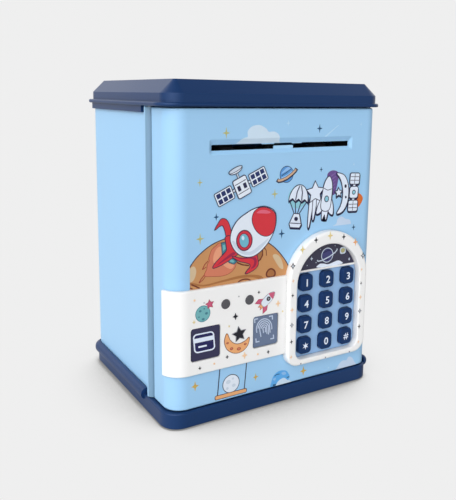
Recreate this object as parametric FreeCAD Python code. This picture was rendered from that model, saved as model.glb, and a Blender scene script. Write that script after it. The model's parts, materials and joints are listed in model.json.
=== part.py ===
import FreeCAD, Part
import os
from math import acos, cos, pi, radians, sin, sqrt, tan

# Toy savings bank in the shape of a cash machine. Millimetres, +Z up, the front faces -Y.
# Everything is modelled with y = 0 on the door's front face, y growing towards the rear,
# x = 0 on the middle of the body and z = 0 on the floor. save() then moves each part along Y
# so that the origin is the middle of the whole footprint on the floor.

Vector = FreeCAD.Vector
X_AXIS = Vector(1, 0, 0)
Y_AXIS = Vector(0, 1, 0)
Z_AXIS = Vector(0, 0, 1)

# ---- driving dimensions -------------------------------------------------------------------
HALF_W = 70.0            # half the body's width
DEPTH = 120.0            # door face to the housing's rear face
HEIGHT = 190.0
WALL = 2.2               # moulded wall thickness
REAR_R = 6.0             # housing's rear corners, seen from above

BASE_TOP = 10.0          # deck the walls stand on
BASE_BOTTOM = 0.5        # underside of the base, above the floor on its feet
BASE_HALF_W = 72.4
BASE_OVERHANG = 1.5      # base and roof past the front and rear faces
BASE_CORNER_R = 11.0
RAIL_HALF_W = 74.2       # rounded rail round the foot of the walls
RAIL_LOW = 6.2
RAIL_HIGH = 13.2
RAIL_REAR = 2.6          # rail past the housing's rear face
RAIL_GAP = 0.25
RAIL_START_RIGHT = 2.5
RAIL_FRONT_R = 3.6       # its front end on the right, seen from above
SIDE_START_LEFT = 31.8   # rails begin behind the hinge column
FOOT_R = 6.0
FOOT_SINK = 1.2          # how deep a rubber foot sits in the base
FOOT_POINTS = [(side * 56.0, y) for side in (-1, 1) for y in (16.0, 104.0)]

SCREW_R = 1.3            # self-tapping screws of the roof and the base
CORNER_BOSS_R = 3.6
CORNER_BOSS_HIGH = 14.0
CORNER_POINTS = [(side * 62.4, y) for side in (-1, 1) for y in (44.0, 111.0)]
SHELF_Z = (169.8, 172.0)     # inner shelf the roof is screwed to
SHELF_START = 38.0

ROOF_LOW = 176.0         # underside of the roof
ROOF_BAND_LOW = 172.3    # its rim down over the housing walls
ROOF_LIP_HIGH = 178.2
ROOF_LIP_HALF_W = 74.6
ROOF_SKIRT_HIGH = 182.8
ROOF_SKIRT_HALF_W = 71.6
ROOF_TOP_INSET = 7.2     # shoulder from skirt to flat top
ROOF_SKIRT_R = 9.5
ROOF_TOP_R = 1.6
COIN_SLOT = (30.0, 3.6)  # length and width
COIN_SLOT_Y = 62.0

DOOR_LOW = 10.4
DOOR_HIGH = 175.4
DOOR_R_LEFT = 10.0
DOOR_R_RIGHT = 7.5
DOOR_RETURN = 7.0        # depth of the door's rim at top, bottom and right
DOOR_WRAP = 22.0         # depth of its left side wall
HOUSING_START_RIGHT = 8.0
HOUSING_START_LEFT = 31.2

HINGE_X = -68.6
HINGE_Y = 27.0
COLUMN_R = 3.4
PIN_R = 1.5
PIN_LENGTH = 20.0
PIN_BOTTOM = 2.4
PIN_TOP = 182.0
RUNNING = 0.05           # radial clearance of a turning shaft

SLOT_X = 1.8             # note slot in the door
SLOT_LENGTH = 93.6
SLOT_LOW = 152.8
SLOT_HIGH = 155.9
SLOT_DIP = 1.4           # depth of the funnel round it

BAND_LOW = 30.6
BAND_HIGH = 78.8
BAND_PROUD = 2.0
BAND_WRAP = 8.0

PAD_X = 32.9             # keypad's middle
BEZEL_PROUD = 5.0
BEZEL_HALF_W = 29.7
BEZEL_LOW = 22.3
BEZEL_SPRING = 73.0      # height where the sides turn into the arch
BEZEL_R = 8.0
WINDOW_HALF_W = 23.8
WINDOW_LOW = 26.0
WINDOW_SPRING = 71.2
WINDOW_R = 5.5
DIVIDER = (79.0, 80.1)   # bar under the keypad's header
PLATE_Y = -0.5           # keypad plate's front face
PLATE_BACK = 2.2
PLATE_FLANGE = 3.2       # flange behind the door's wall

KEY_Z = 53.2
KEY_PITCH_X = 15.8
KEY_PITCH_Z = 13.1
KEY_W = 9.0
KEY_H = 10.2
KEY_R = 2.5
KEY_FACE = -3.5
KEY_NAMES = (("1", "2", "3"), ("4", "5", "6"), ("7", "8", "9"), ("star", "0", "hash"))

CARD_PAD = (-49.7, 47.9, 18.0, 18.6)     # x, z, width, height
PRINT_PAD = (-10.6, 47.9, 17.2, 18.7)
LENSES = ((-37.4, 68.2), (-22.0, 68.2))
LENS_R = 2.85
BOARD_Y = 6.0
BOARD_THICK = 1.6
BOARD = (-59.0, -0.6, 31.0, 79.0)        # control board: x and z limits
PAD_BOARD = (6.0, 60.6, 27.5, 78.5)
PAD_BOARD_Y = 7.0

COVER = (-62.0, 64.0, 14.0, 171.0)       # back cover: x and z limits
COVER_BACK = 21.8
COVER_WALL = 2.0
COVER_SCREWS = ((-56.4, 19.5), (-56.4, 83.4), (-56.4, 165.5), (58.4, 19.5), (58.4, 92.0), (58.4, 165.5))

CELL_R = 7.25
CELL_LENGTH = 50.5
CELL_PITCH = 15.1
BATTERY_X = -26.0
BATTERY_LOW = 86.0
BATTERY_HIGH = 143.5
BATTERY_HALF_W = 24.5
BATTERY_FLOOR = 3.0
BATTERY_RIM = 19.6
BATTERY_WALL = 1.2
CELL_Y = BATTERY_FLOOR + BATTERY_WALL + CELL_R + 0.1
CELL_LOW = (BATTERY_LOW + BATTERY_HIGH - CELL_LENGTH) / 2
BATTERY_LUG_Z = BATTERY_HIGH + 4.6       # the cover's screw
BATTERY_LUG = 3.3                        # depth of the lug it bites into

SHAFT_Y = 11.0           # every roller and gear axis lies in this plane
NIP_Z = 154.35
DRIVE_R = 5.0
IDLER_R = 4.0
NIP_GAP = 0.1
DRIVE_Z = NIP_Z - NIP_GAP / 2 - DRIVE_R
IDLER_Z = NIP_Z + NIP_GAP / 2 + IDLER_R
SHAFT_R = 1.5
IDLER_SHAFT_R = 1.2
ROLLER_XS = (-32.0, 0.0, 32.0)
ROLLER_W = 9.0
FRAME_X = 51.0           # inner face of the feeder's side plates
FRAME_THICK = 2.0

GEAR_MODULE = 0.5
PRESSURE = radians(25)
BACKLASH = 0.05
TEETH_DRIVE = 24
TEETH_SMALL = 12
TEETH_LARGE = 30
TEETH_PINION = 12
GEAR_NEAR = (56.0, 59.0)     # x limits of the drive gear's plane
GEAR_FAR = (59.6, 61.6)      # and of the pinion's
REDUCTION_Z = DRIVE_Z - GEAR_MODULE * (TEETH_DRIVE + TEETH_SMALL) / 2
MOTOR_Z = REDUCTION_Z - GEAR_MODULE * (TEETH_LARGE + TEETH_PINION) / 2
AXLE_R = 1.0

LATCH_Y = 13.0
LATCH_Z = 108.0
BOLT_TIP = 63.6
BOLT_R = 2.5
BOLT = (3.6, 6.0)            # its flat end: depth and height
STRIKER_X = 65.2
SOLENOID = (30.0, 54.0)      # its frame's x limits
COLLAR_X = 57.0              # collar on the bolt that the spring bears on

SPEAKER = (-30.0, 52.0)
SPEAKER_R = 14.5

TOTAL_DEPTH = BEZEL_PROUD + DEPTH + RAIL_REAR
FRAME_SHIFT = BEZEL_PROUD - TOTAL_DEPTH / 2


# ---- building blocks ----------------------------------------------------------------------
def on_xy(z):
    return lambda u, v: Vector(u, v, z)


def on_xz(y):
    return lambda u, v: Vector(u, y, v)


def on_yz(x):
    return lambda u, v: Vector(x, u, v)


def outline(corners, lift):
    """Closed wire through corners (u, v, radius) of a polygon, rounded by each radius."""
    joins = []
    for i, (u, v, r) in enumerate(corners):
        here = Vector(u, v, 0)
        before = Vector(corners[i - 1][0], corners[i - 1][1], 0)
        after = Vector(corners[(i + 1) % len(corners)][0], corners[(i + 1) % len(corners)][1], 0)
        back = (before - here).normalize()
        on = (after - here).normalize()
        if r == 0:
            joins.append((here, None, here))
            continue
        half = back.getAngle(on) / 2
        reach = r / tan(half)
        middle = here + (back + on).normalize() * (r / sin(half) - r)
        joins.append((here + back * reach, middle, here + on * reach))
    edges = []
    for i, (start, middle, end) in enumerate(joins):
        if middle is not None:
            edges.append(Part.Arc(*[lift(p.x, p.y) for p in (start, middle, end)]).toShape())
        following = joins[(i + 1) % len(joins)][0]
        if end.distanceToPoint(following) > 1e-6:
            edges.append(Part.makeLine(lift(end.x, end.y), lift(following.x, following.y)))
    return Part.Wire(edges)


def rectangle(u0, u1, v0, v1, *radii):
    """Corners of a rectangle, anticlockwise from (u0, v0), with one radius or four."""
    r = radii * 4 if len(radii) == 1 else radii or (0, 0, 0, 0)
    return [(u0, v0, r[0]), (u1, v0, r[1]), (u1, v1, r[2]), (u0, v1, r[3])]


def prism(wire, direction):
    return Part.Face(wire).extrude(direction)


def block(x0, x1, y0, y1, z0, z1):
    return Part.makeBox(x1 - x0, y1 - y0, z1 - z0, Vector(x0, y0, z0))


def standing(corners, z0, z1):
    """Prism along Z of an outline seen from above."""
    return prism(outline(corners, on_xy(z0)), Z_AXIS * (z1 - z0))


def facing(corners, y0, y1):
    """Prism along Y of an outline seen from the front."""
    return prism(outline(corners, on_xz(y0)), Y_AXIS * (y1 - y0))


def rod_x(x0, x1, y, z, r):
    return Part.makeCylinder(r, x1 - x0, Vector(x0, y, z), X_AXIS)


def rod_y(x, y0, y1, z, r):
    return Part.makeCylinder(r, y1 - y0, Vector(x, y0, z), Y_AXIS)


def rod_z(x, y, z0, z1, r):
    return Part.makeCylinder(r, z1 - z0, Vector(x, y, z0), Z_AXIS)


def union(shapes):
    first, *rest = shapes
    return first.multiFuse(rest).removeSplitter() if rest else first


def one(shape):
    """The only solid of a result that must be a single solid."""
    solids = shape.Solids
    if len(solids) != 1:
        boxes = ["%.1f mm3 at %s" % (s.Volume, s.BoundBox) for s in solids]
        raise ValueError("expected one solid, got %s" % "; ".join(boxes))
    return solids[0]


def rounded(shape, radius, wanted):
    """Fillets the edges for which wanted(middle point, edge) is true."""
    edges = [e for e in shape.Edges if wanted(e.CenterOfMass, e)]
    return shape.makeFillet(radius, edges)


def screw(head, axis, shank_r, length, head_r, head_high):
    """Pan-head screw: axis points from the head down the shank, head is under the head."""
    back = axis * -1
    cap = Part.makeCylinder(head_r, head_high, head, back)
    cap = rounded(cap, head_high * 0.45, lambda p, e: (p - head).dot(back) > head_high * 0.9)
    recess = []
    for side in (0, 90):
        bar = Part.makeBox(head_r * 1.2, head_high * 0.3, head_high * 0.6)
        bar.translate(Vector(-head_r * 0.6, -head_high * 0.15, head_high * 0.5))
        bar.rotate(Vector(0, 0, 0), Z_AXIS, side)
        bar.Placement = FreeCAD.Placement(head, FreeCAD.Rotation(Z_AXIS, back)).multiply(bar.Placement)
        recess.append(bar)
    shank = Part.makeCylinder(shank_r, length, head, axis)
    return one(cap.fuse(shank).cut(union(recess)))


def coil(radius, wire_r, length, turns):
    """Coil spring along +Z from the origin."""
    helix = Part.makeHelix((length - 2 * wire_r) / turns, length - 2 * wire_r, radius)
    helix.translate(Vector(0, 0, wire_r))
    section = Part.Wire(Part.makeCircle(wire_r, Vector(radius, 0, wire_r), Y_AXIS))
    return Part.Wire(helix.Edges).makePipeShell([section], True, True)


def arch(half_w, low, spring, corner_r, y0, y1):
    """Prism along Y of an arched outline round the keypad's middle."""
    left, right = PAD_X - half_w, PAD_X + half_w
    bend = corner_r * (1 - sqrt(0.5))
    at = on_xz(y0)
    edges = [
        Part.Arc(at(left, low + corner_r), at(left + bend, low + bend), at(left + corner_r, low)).toShape(),
        Part.makeLine(at(left + corner_r, low), at(right - corner_r, low)),
        Part.Arc(
            at(right - corner_r, low), at(right - bend, low + bend), at(right, low + corner_r)
        ).toShape(),
        Part.makeLine(at(right, low + corner_r), at(right, spring)),
        Part.Arc(at(right, spring), at(PAD_X, spring + half_w), at(left, spring)).toShape(),
        Part.makeLine(at(left, spring), at(left, low + corner_r)),
    ]
    return prism(Part.Wire(edges), Y_AXIS * (y1 - y0))


def gear(teeth, tooth_at, y, z, x0, x1):
    """Spur gear along X with one tooth centred at the angle tooth_at, from +Y towards +Z."""
    pitch_r = GEAR_MODULE * teeth / 2
    base_r = pitch_r * cos(PRESSURE)
    tip_r = pitch_r + GEAR_MODULE
    root_r = pitch_r - 1.25 * GEAR_MODULE
    half_tooth = pi / (2 * teeth) - BACKLASH / (2 * pitch_r)

    def flank(r):
        roll = acos(min(1, base_r / r))
        return half_tooth + tan(PRESSURE) - PRESSURE - (tan(roll) - roll)

    start = max(base_r, root_r)
    radii = [start + (tip_r - start) * step / 3 for step in range(4)]
    side = [(root_r, flank(start))] * (start > root_r) + [(r, flank(r)) for r in radii]
    points = []
    for tooth in range(teeth):
        middle = tooth_at + 2 * pi * tooth / teeth
        for r, turn in [(r, -a) for r, a in side] + [(r, a) for r, a in reversed(side)]:
            points.append(Vector(x0, y + r * cos(middle + turn), z + r * sin(middle + turn)))
    return prism(Part.makePolygon(points + points[:1]), X_AXIS * (x1 - x0))


def door_outline(offset, rear=DOOR_WRAP):
    """The door's shape from above, moved out by offset: square at the rear."""
    return [
        (-HALF_W - offset, -offset, DOOR_R_LEFT + offset),
        (HALF_W + offset, -offset, DOOR_R_RIGHT + offset),
        (HALF_W + offset, rear, 0),
        (-HALF_W - offset, rear, 0),
    ]


def around_rear(half_w, rear, r, z0, z1, start_left, start_right, front_r=0):
    """Solid with two rounded rear corners; its front edge may be stepped."""
    solid = standing(rectangle(-half_w, half_w, start_right, rear, 0, front_r, r, r), z0, z1)
    if start_left > start_right:
        solid = solid.cut(block(-half_w - 1, 0, start_right - 1, start_left, z0 - 1, z1 + 1))
    return solid


# ---- parts that stand still ---------------------------------------------------------------
def rear_housing():
    low, high = BASE_TOP, ROOF_LOW
    outer = around_rear(HALF_W, DEPTH, REAR_R, low, high, HOUSING_START_LEFT, HOUSING_START_RIGHT)
    inner_r = REAR_R - WALL
    hollow = around_rear(HALF_W - WALL, DEPTH - WALL, inner_r, low, high, -5, -5)
    shell = outer.cut(hollow)
    room = around_rear(HALF_W - WALL, DEPTH - WALL, inner_r, low, high, SHELF_START, SHELF_START)
    shelf = around_rear(HALF_W - WALL, DEPTH - WALL, inner_r, *SHELF_Z, SHELF_START, SHELF_START)
    shelf = shelf.cut(block(-57, 57, 30, DEPTH - WALL - 8, SHELF_Z[0] - 1, SHELF_Z[1] + 1))
    solids = [shell, shelf]
    for x, y in CORNER_POINTS:
        top = low + CORNER_BOSS_HIGH
        solids.append(rod_z(x, y, low, top, CORNER_BOSS_R).common(room))
        inner, outside = sorted((x, x / abs(x) * (HALF_W - WALL)))
        solids.append(block(inner, outside, y - 1.2, y + 1.2, low, top))
    housing = union(solids)
    for x, y in CORNER_POINTS:
        housing = housing.cut(rod_z(x, y, low - 1, low + 11, SCREW_R))
        housing = housing.cut(rod_z(x, y, SHELF_Z[0] - 1, SHELF_Z[1] + 1, 1.6))
    for z in (LATCH_Z - 9, LATCH_Z + 9):
        housing = housing.cut(rod_x(HALF_W - WALL - 1, HALF_W - WALL + 1.2, LATCH_Y + 6, z, 1.0))
    return one(housing)


def roof_envelope():
    rear = DEPTH + BASE_OVERHANG
    lip = standing(rectangle(-ROOF_LIP_HALF_W, ROOF_LIP_HALF_W, -2.0, rear + 0.8, 11.0),
                   ROOF_LOW, ROOF_LIP_HIGH)
    lip = rounded(lip, 0.9, lambda p, e: e.BoundBox.ZLength < 0.01)
    skirt = rectangle(-ROOF_SKIRT_HALF_W, ROOF_SKIRT_HALF_W, -BASE_OVERHANG, rear, ROOF_SKIRT_R)
    body = standing(skirt, ROOF_LOW, ROOF_SKIRT_HIGH)
    top_w = ROOF_SKIRT_HALF_W - ROOF_TOP_INSET
    top = rectangle(-top_w, top_w, ROOF_TOP_INSET - BASE_OVERHANG, rear - ROOF_TOP_INSET, ROOF_TOP_R)
    shoulder = Part.makeLoft(
        [outline(skirt, on_xy(ROOF_SKIRT_HIGH)), outline(top, on_xy(HEIGHT))], True, True)
    return union([lip, body, shoulder])


def roof_hollow():
    low, rear = ROOF_LOW - 1, DEPTH - WALL
    side = HALF_W - WALL
    skirt = rectangle(-side, side, WALL, rear, 6.0)
    straight = standing(skirt, low, ROOF_SKIRT_HIGH)
    inset = ROOF_TOP_INSET - 1.0
    top = rectangle(-side + inset, side - inset, WALL + inset, rear - inset, 1.0)
    slope = Part.makeLoft(
        [outline(skirt, on_xy(ROOF_SKIRT_HIGH)), outline(top, on_xy(HEIGHT - 2.6))], True, True)
    return straight.fuse(slope)


def roof_cap():
    envelope = roof_envelope()
    cap = envelope.cut(roof_hollow())
    band = around_rear(ROOF_SKIRT_HALF_W + 0.4, DEPTH + BASE_OVERHANG, REAR_R + 2,
                       ROOF_BAND_LOW, ROOF_LOW + 0.5, SIDE_START_LEFT, HOUSING_START_RIGHT + 1)
    band = band.cut(around_rear(HALF_W, DEPTH, REAR_R, ROOF_BAND_LOW - 1, ROOF_LOW, -5, -5))
    posts = [rod_z(x, y, SHELF_Z[1], HEIGHT - 2, CORNER_BOSS_R).common(envelope.fuse(
        rod_z(x, y, SHELF_Z[1], ROOF_LOW, CORNER_BOSS_R))) for x, y in CORNER_POINTS]
    hinge_boss = rod_z(HINGE_X, HINGE_Y, ROOF_LOW, PIN_TOP + 2, 4.4).common(envelope)
    rim = facing_up_slot(COIN_SLOT[0] + 5, COIN_SLOT[1] + 5, HEIGHT - 3, HEIGHT)
    cap = union([cap, band, hinge_boss, rim] + posts)
    for x, y in CORNER_POINTS:
        cap = cap.cut(rod_z(x, y, SHELF_Z[1] - 1, HEIGHT - 6, SCREW_R))
    cap = cap.cut(rod_z(HINGE_X, HINGE_Y, ROOF_LOW - 1, PIN_TOP + 0.2, PIN_R + RUNNING))
    slot = facing_up_slot(COIN_SLOT[0], COIN_SLOT[1], HEIGHT - 8, HEIGHT + 1)
    mouth = Part.makeLoft([
        outline(slot_corners(COIN_SLOT[0], COIN_SLOT[1]), on_xy(HEIGHT - 1.0)),
        outline(slot_corners(COIN_SLOT[0] + 2, COIN_SLOT[1] + 2), on_xy(HEIGHT + 0.01))], True, True)
    return one(cap.cut(slot).cut(mouth))


def slot_corners(length, width):
    r = width * 0.45
    return rectangle(-length / 2, length / 2, COIN_SLOT_Y - width / 2, COIN_SLOT_Y + width / 2, r)


def facing_up_slot(length, width, z0, z1):
    return standing(slot_corners(length, width), z0, z1)


def base_tray():
    front, rear = -BASE_OVERHANG, DEPTH + BASE_OVERHANG
    skirt = standing(rectangle(-BASE_HALF_W, BASE_HALF_W, front, rear, BASE_CORNER_R),
                     BASE_BOTTOM, BASE_TOP)
    skirt = rounded(skirt, 1.0, lambda p, e: e.BoundBox.ZMax < BASE_BOTTOM + 0.01)
    skirt = rounded(skirt, 1.1, lambda p, e: e.BoundBox.ZMin > BASE_TOP - 0.01)
    thick = 2.6
    hollow = standing(
        rectangle(
            -BASE_HALF_W + thick, BASE_HALF_W - thick, front + thick, rear - thick, BASE_CORNER_R - thick
        ),
        BASE_BOTTOM - 1, BASE_TOP - WALL)
    tray = skirt.cut(hollow)
    solids = [tray, base_rail()]
    solids += [rod_z(x, y, BASE_BOTTOM, BASE_TOP - WALL, 8.0) for x, y in FOOT_POINTS]
    solids += [rod_z(x, y, BASE_BOTTOM + 3, BASE_TOP - WALL, 4.6).common(skirt) for x, y in CORNER_POINTS]
    solids.append(rod_z(HINGE_X, HINGE_Y, BASE_BOTTOM, BASE_TOP, 4.6).common(skirt))
    solids += base_ribs(thick)
    tray = union(solids)
    for x, y in FOOT_POINTS:
        tray = tray.cut(rod_z(x, y, BASE_BOTTOM - 1, BASE_BOTTOM + FOOT_SINK, FOOT_R))
    for x, y in CORNER_POINTS:
        tray = tray.cut(rod_z(x, y, BASE_BOTTOM, BASE_TOP - WALL, 3.0))
        tray = tray.cut(rod_z(x, y, BASE_BOTTOM, BASE_TOP + 1, 1.6))
    tray = tray.cut(rod_z(HINGE_X, HINGE_Y, PIN_BOTTOM - 0.2, BASE_TOP + 1, PIN_R + RUNNING))
    return one(tray)


def base_ribs(thick):
    """Stiffening ribs under the deck."""
    low, high = BASE_BOTTOM + 3.5, BASE_TOP - WALL
    side = BASE_HALF_W - thick
    across = [block(-side, side, y - 0.8, y + 0.8, low, high) for y in (16.0, 60.0, 104.0)]
    along = [block(x - 0.8, x + 0.8, 1, DEPTH - 1, low, high) for x in (-56.0, -20.0, 20.0, 56.0)]
    return across + along


def base_rail():
    """Rounded rail round the housing's walls, open at the front."""
    r = REAR_R + RAIL_HALF_W - HALF_W
    outer = around_rear(RAIL_HALF_W, DEPTH + RAIL_REAR, r, RAIL_LOW, RAIL_HIGH,
                        SIDE_START_LEFT, RAIL_START_RIGHT, RAIL_FRONT_R)
    outer = rounded(outer, 3.2, lambda p, e: e.BoundBox.ZLength < 0.01 and (
        abs(p.x) > HALF_W + 1 or p.y > DEPTH))
    inner = around_rear(HALF_W + RAIL_GAP, DEPTH, REAR_R, RAIL_LOW + 1, RAIL_HIGH + 1, -5, -5)
    return outer.cut(inner).cut(block(-HALF_W, HALF_W, -5, DEPTH, RAIL_LOW - 1, RAIL_HIGH))


def rubber_feet():
    feet = []
    for x, y in FOOT_POINTS:
        foot = rod_z(x, y, 0, BASE_BOTTOM + FOOT_SINK, FOOT_R)
        feet.append(rounded(foot, 0.6, lambda p, e: p.z < 0.01))
    return feet


def roof_screws():
    return [screw(Vector(x, y, SHELF_Z[0]), Z_AXIS, SCREW_R, 12, 2.7, 1.8) for x, y in CORNER_POINTS]


def base_screws():
    under = BASE_TOP - WALL
    return [screw(Vector(x, y, under), Z_AXIS, SCREW_R, 12, 2.7, 1.8) for x, y in CORNER_POINTS]


def latch_striker():
    inside = HALF_W - WALL
    plate = standing(rectangle(STRIKER_X, inside, HOUSING_START_RIGHT + 0.8, LATCH_Y + 11, 0.8, 0, 0, 0.8),
                     LATCH_Z - 12, LATCH_Z + 12)
    deep, high = BOLT[0] / 2 + 0.3, BOLT[1] / 2 + 0.3
    plate = plate.cut(block(STRIKER_X - 1, inside + 1, LATCH_Y - deep, LATCH_Y + deep,
                            LATCH_Z - high, LATCH_Z + high))
    pegs = [rod_x(inside - 0.5, inside + 1.2, LATCH_Y + 6, z, 1.0) for z in (LATCH_Z - 9, LATCH_Z + 9)]
    return one(union([plate] + pegs))


# ---- door ---------------------------------------------------------------------------------
def slot_funnel():
    half = SLOT_LENGTH / 2
    mouth = rectangle(SLOT_X - half - 1.9, SLOT_X + half + 1.9, SLOT_LOW - 2.2, SLOT_HIGH + 3.0, 1.0)
    throat = rectangle(SLOT_X - half, SLOT_X + half, SLOT_LOW, SLOT_HIGH, 0.5)
    slope = Part.makeLoft([outline(mouth, on_xz(-0.01)), outline(throat, on_xz(SLOT_DIP))], True, True)
    return slope.fuse(facing(throat, SLOT_DIP - 0.1, WALL + 1))


def door_shell():
    shell = standing(door_outline(0), DOOR_LOW, DOOR_HIGH)
    shell = shell.cut(block(HINGE_X + 6, HALF_W + 1, DOOR_RETURN, DEPTH, 0, HEIGHT))
    shell = rounded(shell, 1.0, lambda p, e: e.BoundBox.ZLength < 0.01
                    and e.BoundBox.YMin < DOOR_RETURN - 0.5)
    hollow = standing(door_outline(-WALL, DEPTH), DOOR_LOW + WALL, DOOR_HIGH - WALL)
    shell = shell.cut(hollow)
    column = rod_z(HINGE_X, HINGE_Y, DOOR_LOW, DOOR_HIGH, COLUMN_R)
    neck = block(HINGE_X - 0.2, HINGE_X + 2.4, DOOR_WRAP - 1, HINGE_Y - 1, DOOR_LOW, DOOR_HIGH)
    solids = [shell, neck, column]
    for x, z in COVER_SCREWS:
        solids.append(rod_y(x, WALL - 0.5, COVER_BACK - COVER_WALL, z, 3.2))
    for x, z in board_points(BOARD):
        solids.append(rod_y(x, WALL - 0.5, BOARD_Y, z, 2.0))
    shell = union(solids)
    for x, z in COVER_SCREWS:
        shell = shell.cut(rod_y(x, COVER_BACK - 13, COVER_BACK, z, 1.2))
    for x, z in board_points(BOARD):
        shell = shell.cut(rod_y(x, WALL - 0.7, BOARD_Y + 1, z, 0.9))
    shell = shell.cut(slot_funnel())
    shell = shell.cut(arch(WINDOW_HALF_W + 1.5, WINDOW_LOW - 1.5, WINDOW_SPRING, WINDOW_R, -1, WALL + 1))
    shell = shell.cut(pad_prism(PRINT_PAD, 0.3, -1, WALL + 1))
    for x, z in LENSES:
        shell = shell.cut(rod_y(x, -1, WALL + 1, z, 2.0))
    shell = shell.cut(rod_z(HINGE_X, HINGE_Y, DOOR_LOW - 1, PIN_BOTTOM + PIN_LENGTH, PIN_R))
    shell = shell.cut(rod_z(HINGE_X, HINGE_Y, PIN_TOP - PIN_LENGTH, DOOR_HIGH + 1, PIN_R))
    return one(shell)


def board_points(limits):
    x0, x1, z0, z1 = limits
    return [(x, z) for x in (x0 + 3.5, x1 - 3.5) for z in (z0 + 3.5, z1 - 3.5)]


def pad_prism(pad, gap, y0, y1):
    x, z, w, h = pad
    return facing(rectangle(x - w / 2 - gap, x + w / 2 + gap, z - h / 2 - gap, z + h / 2 + gap, 1.6), y0, y1)


def hinge_pins():
    pins = []
    for low in (PIN_BOTTOM, PIN_TOP - PIN_LENGTH):
        pin = rod_z(HINGE_X, HINGE_Y, low, low + PIN_LENGTH, PIN_R)
        pins.append(pin.makeChamfer(0.3, [e for e in pin.Edges if e.BoundBox.ZLength < 0.01]))
    return pins


def control_band():
    band = standing(door_outline(BAND_PROUD), BAND_LOW, BAND_HIGH)
    inner = standing(door_outline(0), BAND_LOW - 1, BAND_HIGH + 1)
    keep = block(-HALF_W - 5, PAD_X, -5, BAND_WRAP, BAND_LOW, BAND_HIGH)
    band = band.common(keep)
    band = rounded(band, 0.8, lambda p, e: p.x < PAD_X - 1 and (
        e.BoundBox.ZLength < 0.01 and e.BoundBox.YMin < BAND_WRAP - 0.1
        or abs(p.y - BAND_WRAP) < 0.01 and p.x < -HALF_W - 1))
    band = band.cut(inner)
    band = band.cut(arch(BEZEL_HALF_W, BEZEL_LOW, BEZEL_SPRING, BEZEL_R, -10, 1))
    for pad in (CARD_PAD, PRINT_PAD):
        band = band.cut(pad_prism(pad, 0.2, -5, 1))
    for x, z in LENSES:
        band = band.cut(rod_y(x, -5, 1, z, LENS_R))
    return one(band)


def keypad_bezel():
    ring = arch(BEZEL_HALF_W, BEZEL_LOW, BEZEL_SPRING, BEZEL_R, -BEZEL_PROUD, 0)
    ring = rounded(ring, 1.5, lambda p, e: e.BoundBox.YMax < -BEZEL_PROUD + 0.01)
    window = arch(WINDOW_HALF_W, WINDOW_LOW, WINDOW_SPRING, WINDOW_R, -BEZEL_PROUD - 1, 1)
    ring = ring.cut(window)
    ring = rounded(ring, 0.8, lambda p, e: e.BoundBox.YMax < -BEZEL_PROUD + 0.01
                   and abs(p.x - PAD_X) <= WINDOW_HALF_W + 0.01 and p.z > WINDOW_LOW - 0.01
                   and p.z < WINDOW_SPRING + WINDOW_HALF_W + 0.01)
    bar = block(PAD_X - WINDOW_HALF_W, PAD_X + WINDOW_HALF_W, PLATE_Y - 1.1, PLATE_Y, *DIVIDER)
    bar = bar.common(arch(WINDOW_HALF_W, WINDOW_LOW, WINDOW_SPRING, WINDOW_R, -2, 2))
    return one(union([ring, bar]))


def key_places():
    places = {}
    for row, names in enumerate(KEY_NAMES):
        for column, name in enumerate(names):
            x = PAD_X + (column - 1) * KEY_PITCH_X
            places[name] = (x, KEY_Z + (1.5 - row) * KEY_PITCH_Z)
    return places


def key_prism(x, z, grow, r, y0, y1):
    w, h = KEY_W / 2 + grow, KEY_H / 2 + grow
    return facing(rectangle(x - w, x + w, z - h, z + h, r), y0, y1)


def keypad_plate():
    face = arch(WINDOW_HALF_W - 0.1, WINDOW_LOW + 0.1, WINDOW_SPRING, WINDOW_R, PLATE_Y, 0.3)
    plug = arch(WINDOW_HALF_W + 1.4, WINDOW_LOW - 1.4, WINDOW_SPRING, WINDOW_R, 0.05, PLATE_BACK)
    flange = arch(WINDOW_HALF_W + 3.4, WINDOW_LOW - 3.2, WINDOW_SPRING, WINDOW_R, PLATE_BACK, PLATE_FLANGE)
    solids = [face, plug, flange]
    for x, z in board_points(PAD_BOARD):
        solids.append(rod_y(x, PLATE_BACK + 0.2, PAD_BOARD_Y, z, 1.9))
    plate = union(solids)
    for x, z in key_places().values():
        plate = plate.cut(key_prism(x, z, 0.15, KEY_R + 0.15, -1, 5))
    for x, z in board_points(PAD_BOARD):
        plate = plate.cut(rod_y(x, PLATE_BACK + 0.5, PAD_BOARD_Y + 1, z, 0.9))
    return one(plate)


def keypad_header():
    face = arch(WINDOW_HALF_W - 0.1, WINDOW_LOW, WINDOW_SPRING, WINDOW_R, PLATE_Y - 0.4, PLATE_Y)
    return one(face.common(block(0, HALF_W, -2, 2, DIVIDER[1] + 0.05, HEIGHT)))


def key(name):
    x, z = key_places()[name]
    flange_y = PLATE_FLANGE + 0.05
    cap = key_prism(x, z, 0, KEY_R, KEY_FACE, flange_y)
    cap = rounded(cap, 0.7, lambda p, e: e.BoundBox.YMax < KEY_FACE + 0.01)
    flange = key_prism(x, z, 0.6, KEY_R, flange_y, flange_y + 0.7)
    plunger = rod_y(x, flange_y, flange_y + 1.2, z, 1.6)
    return one(union([cap, flange, plunger]))


def keypad_membrane():
    x0, x1, z0, z1 = PAD_BOARD
    sheet = facing(rectangle(x0, x1, z0, z1, 1.0), PAD_BOARD_Y - 0.6, PAD_BOARD_Y)
    domes = [Part.makeCone(2.6, 2.0, 0.6, Vector(x, PAD_BOARD_Y - 0.5, z), Y_AXIS * -1)
             for x, z in key_places().values()]
    mat = union([sheet] + domes)
    for x, z in board_points(PAD_BOARD):
        mat = mat.cut(rod_y(x, 0, 10, z, 2.0))
    return one(mat)


def board(limits, y):
    x0, x1, z0, z1 = limits
    plate = facing(rectangle(x0, x1, z0, z1, 1.0), y, y + BOARD_THICK)
    for x, z in board_points(limits):
        plate = plate.cut(rod_y(x, 0, 12, z, 1.1))
    return plate


def keypad_board():
    return one(board(PAD_BOARD, PAD_BOARD_Y))


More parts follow.
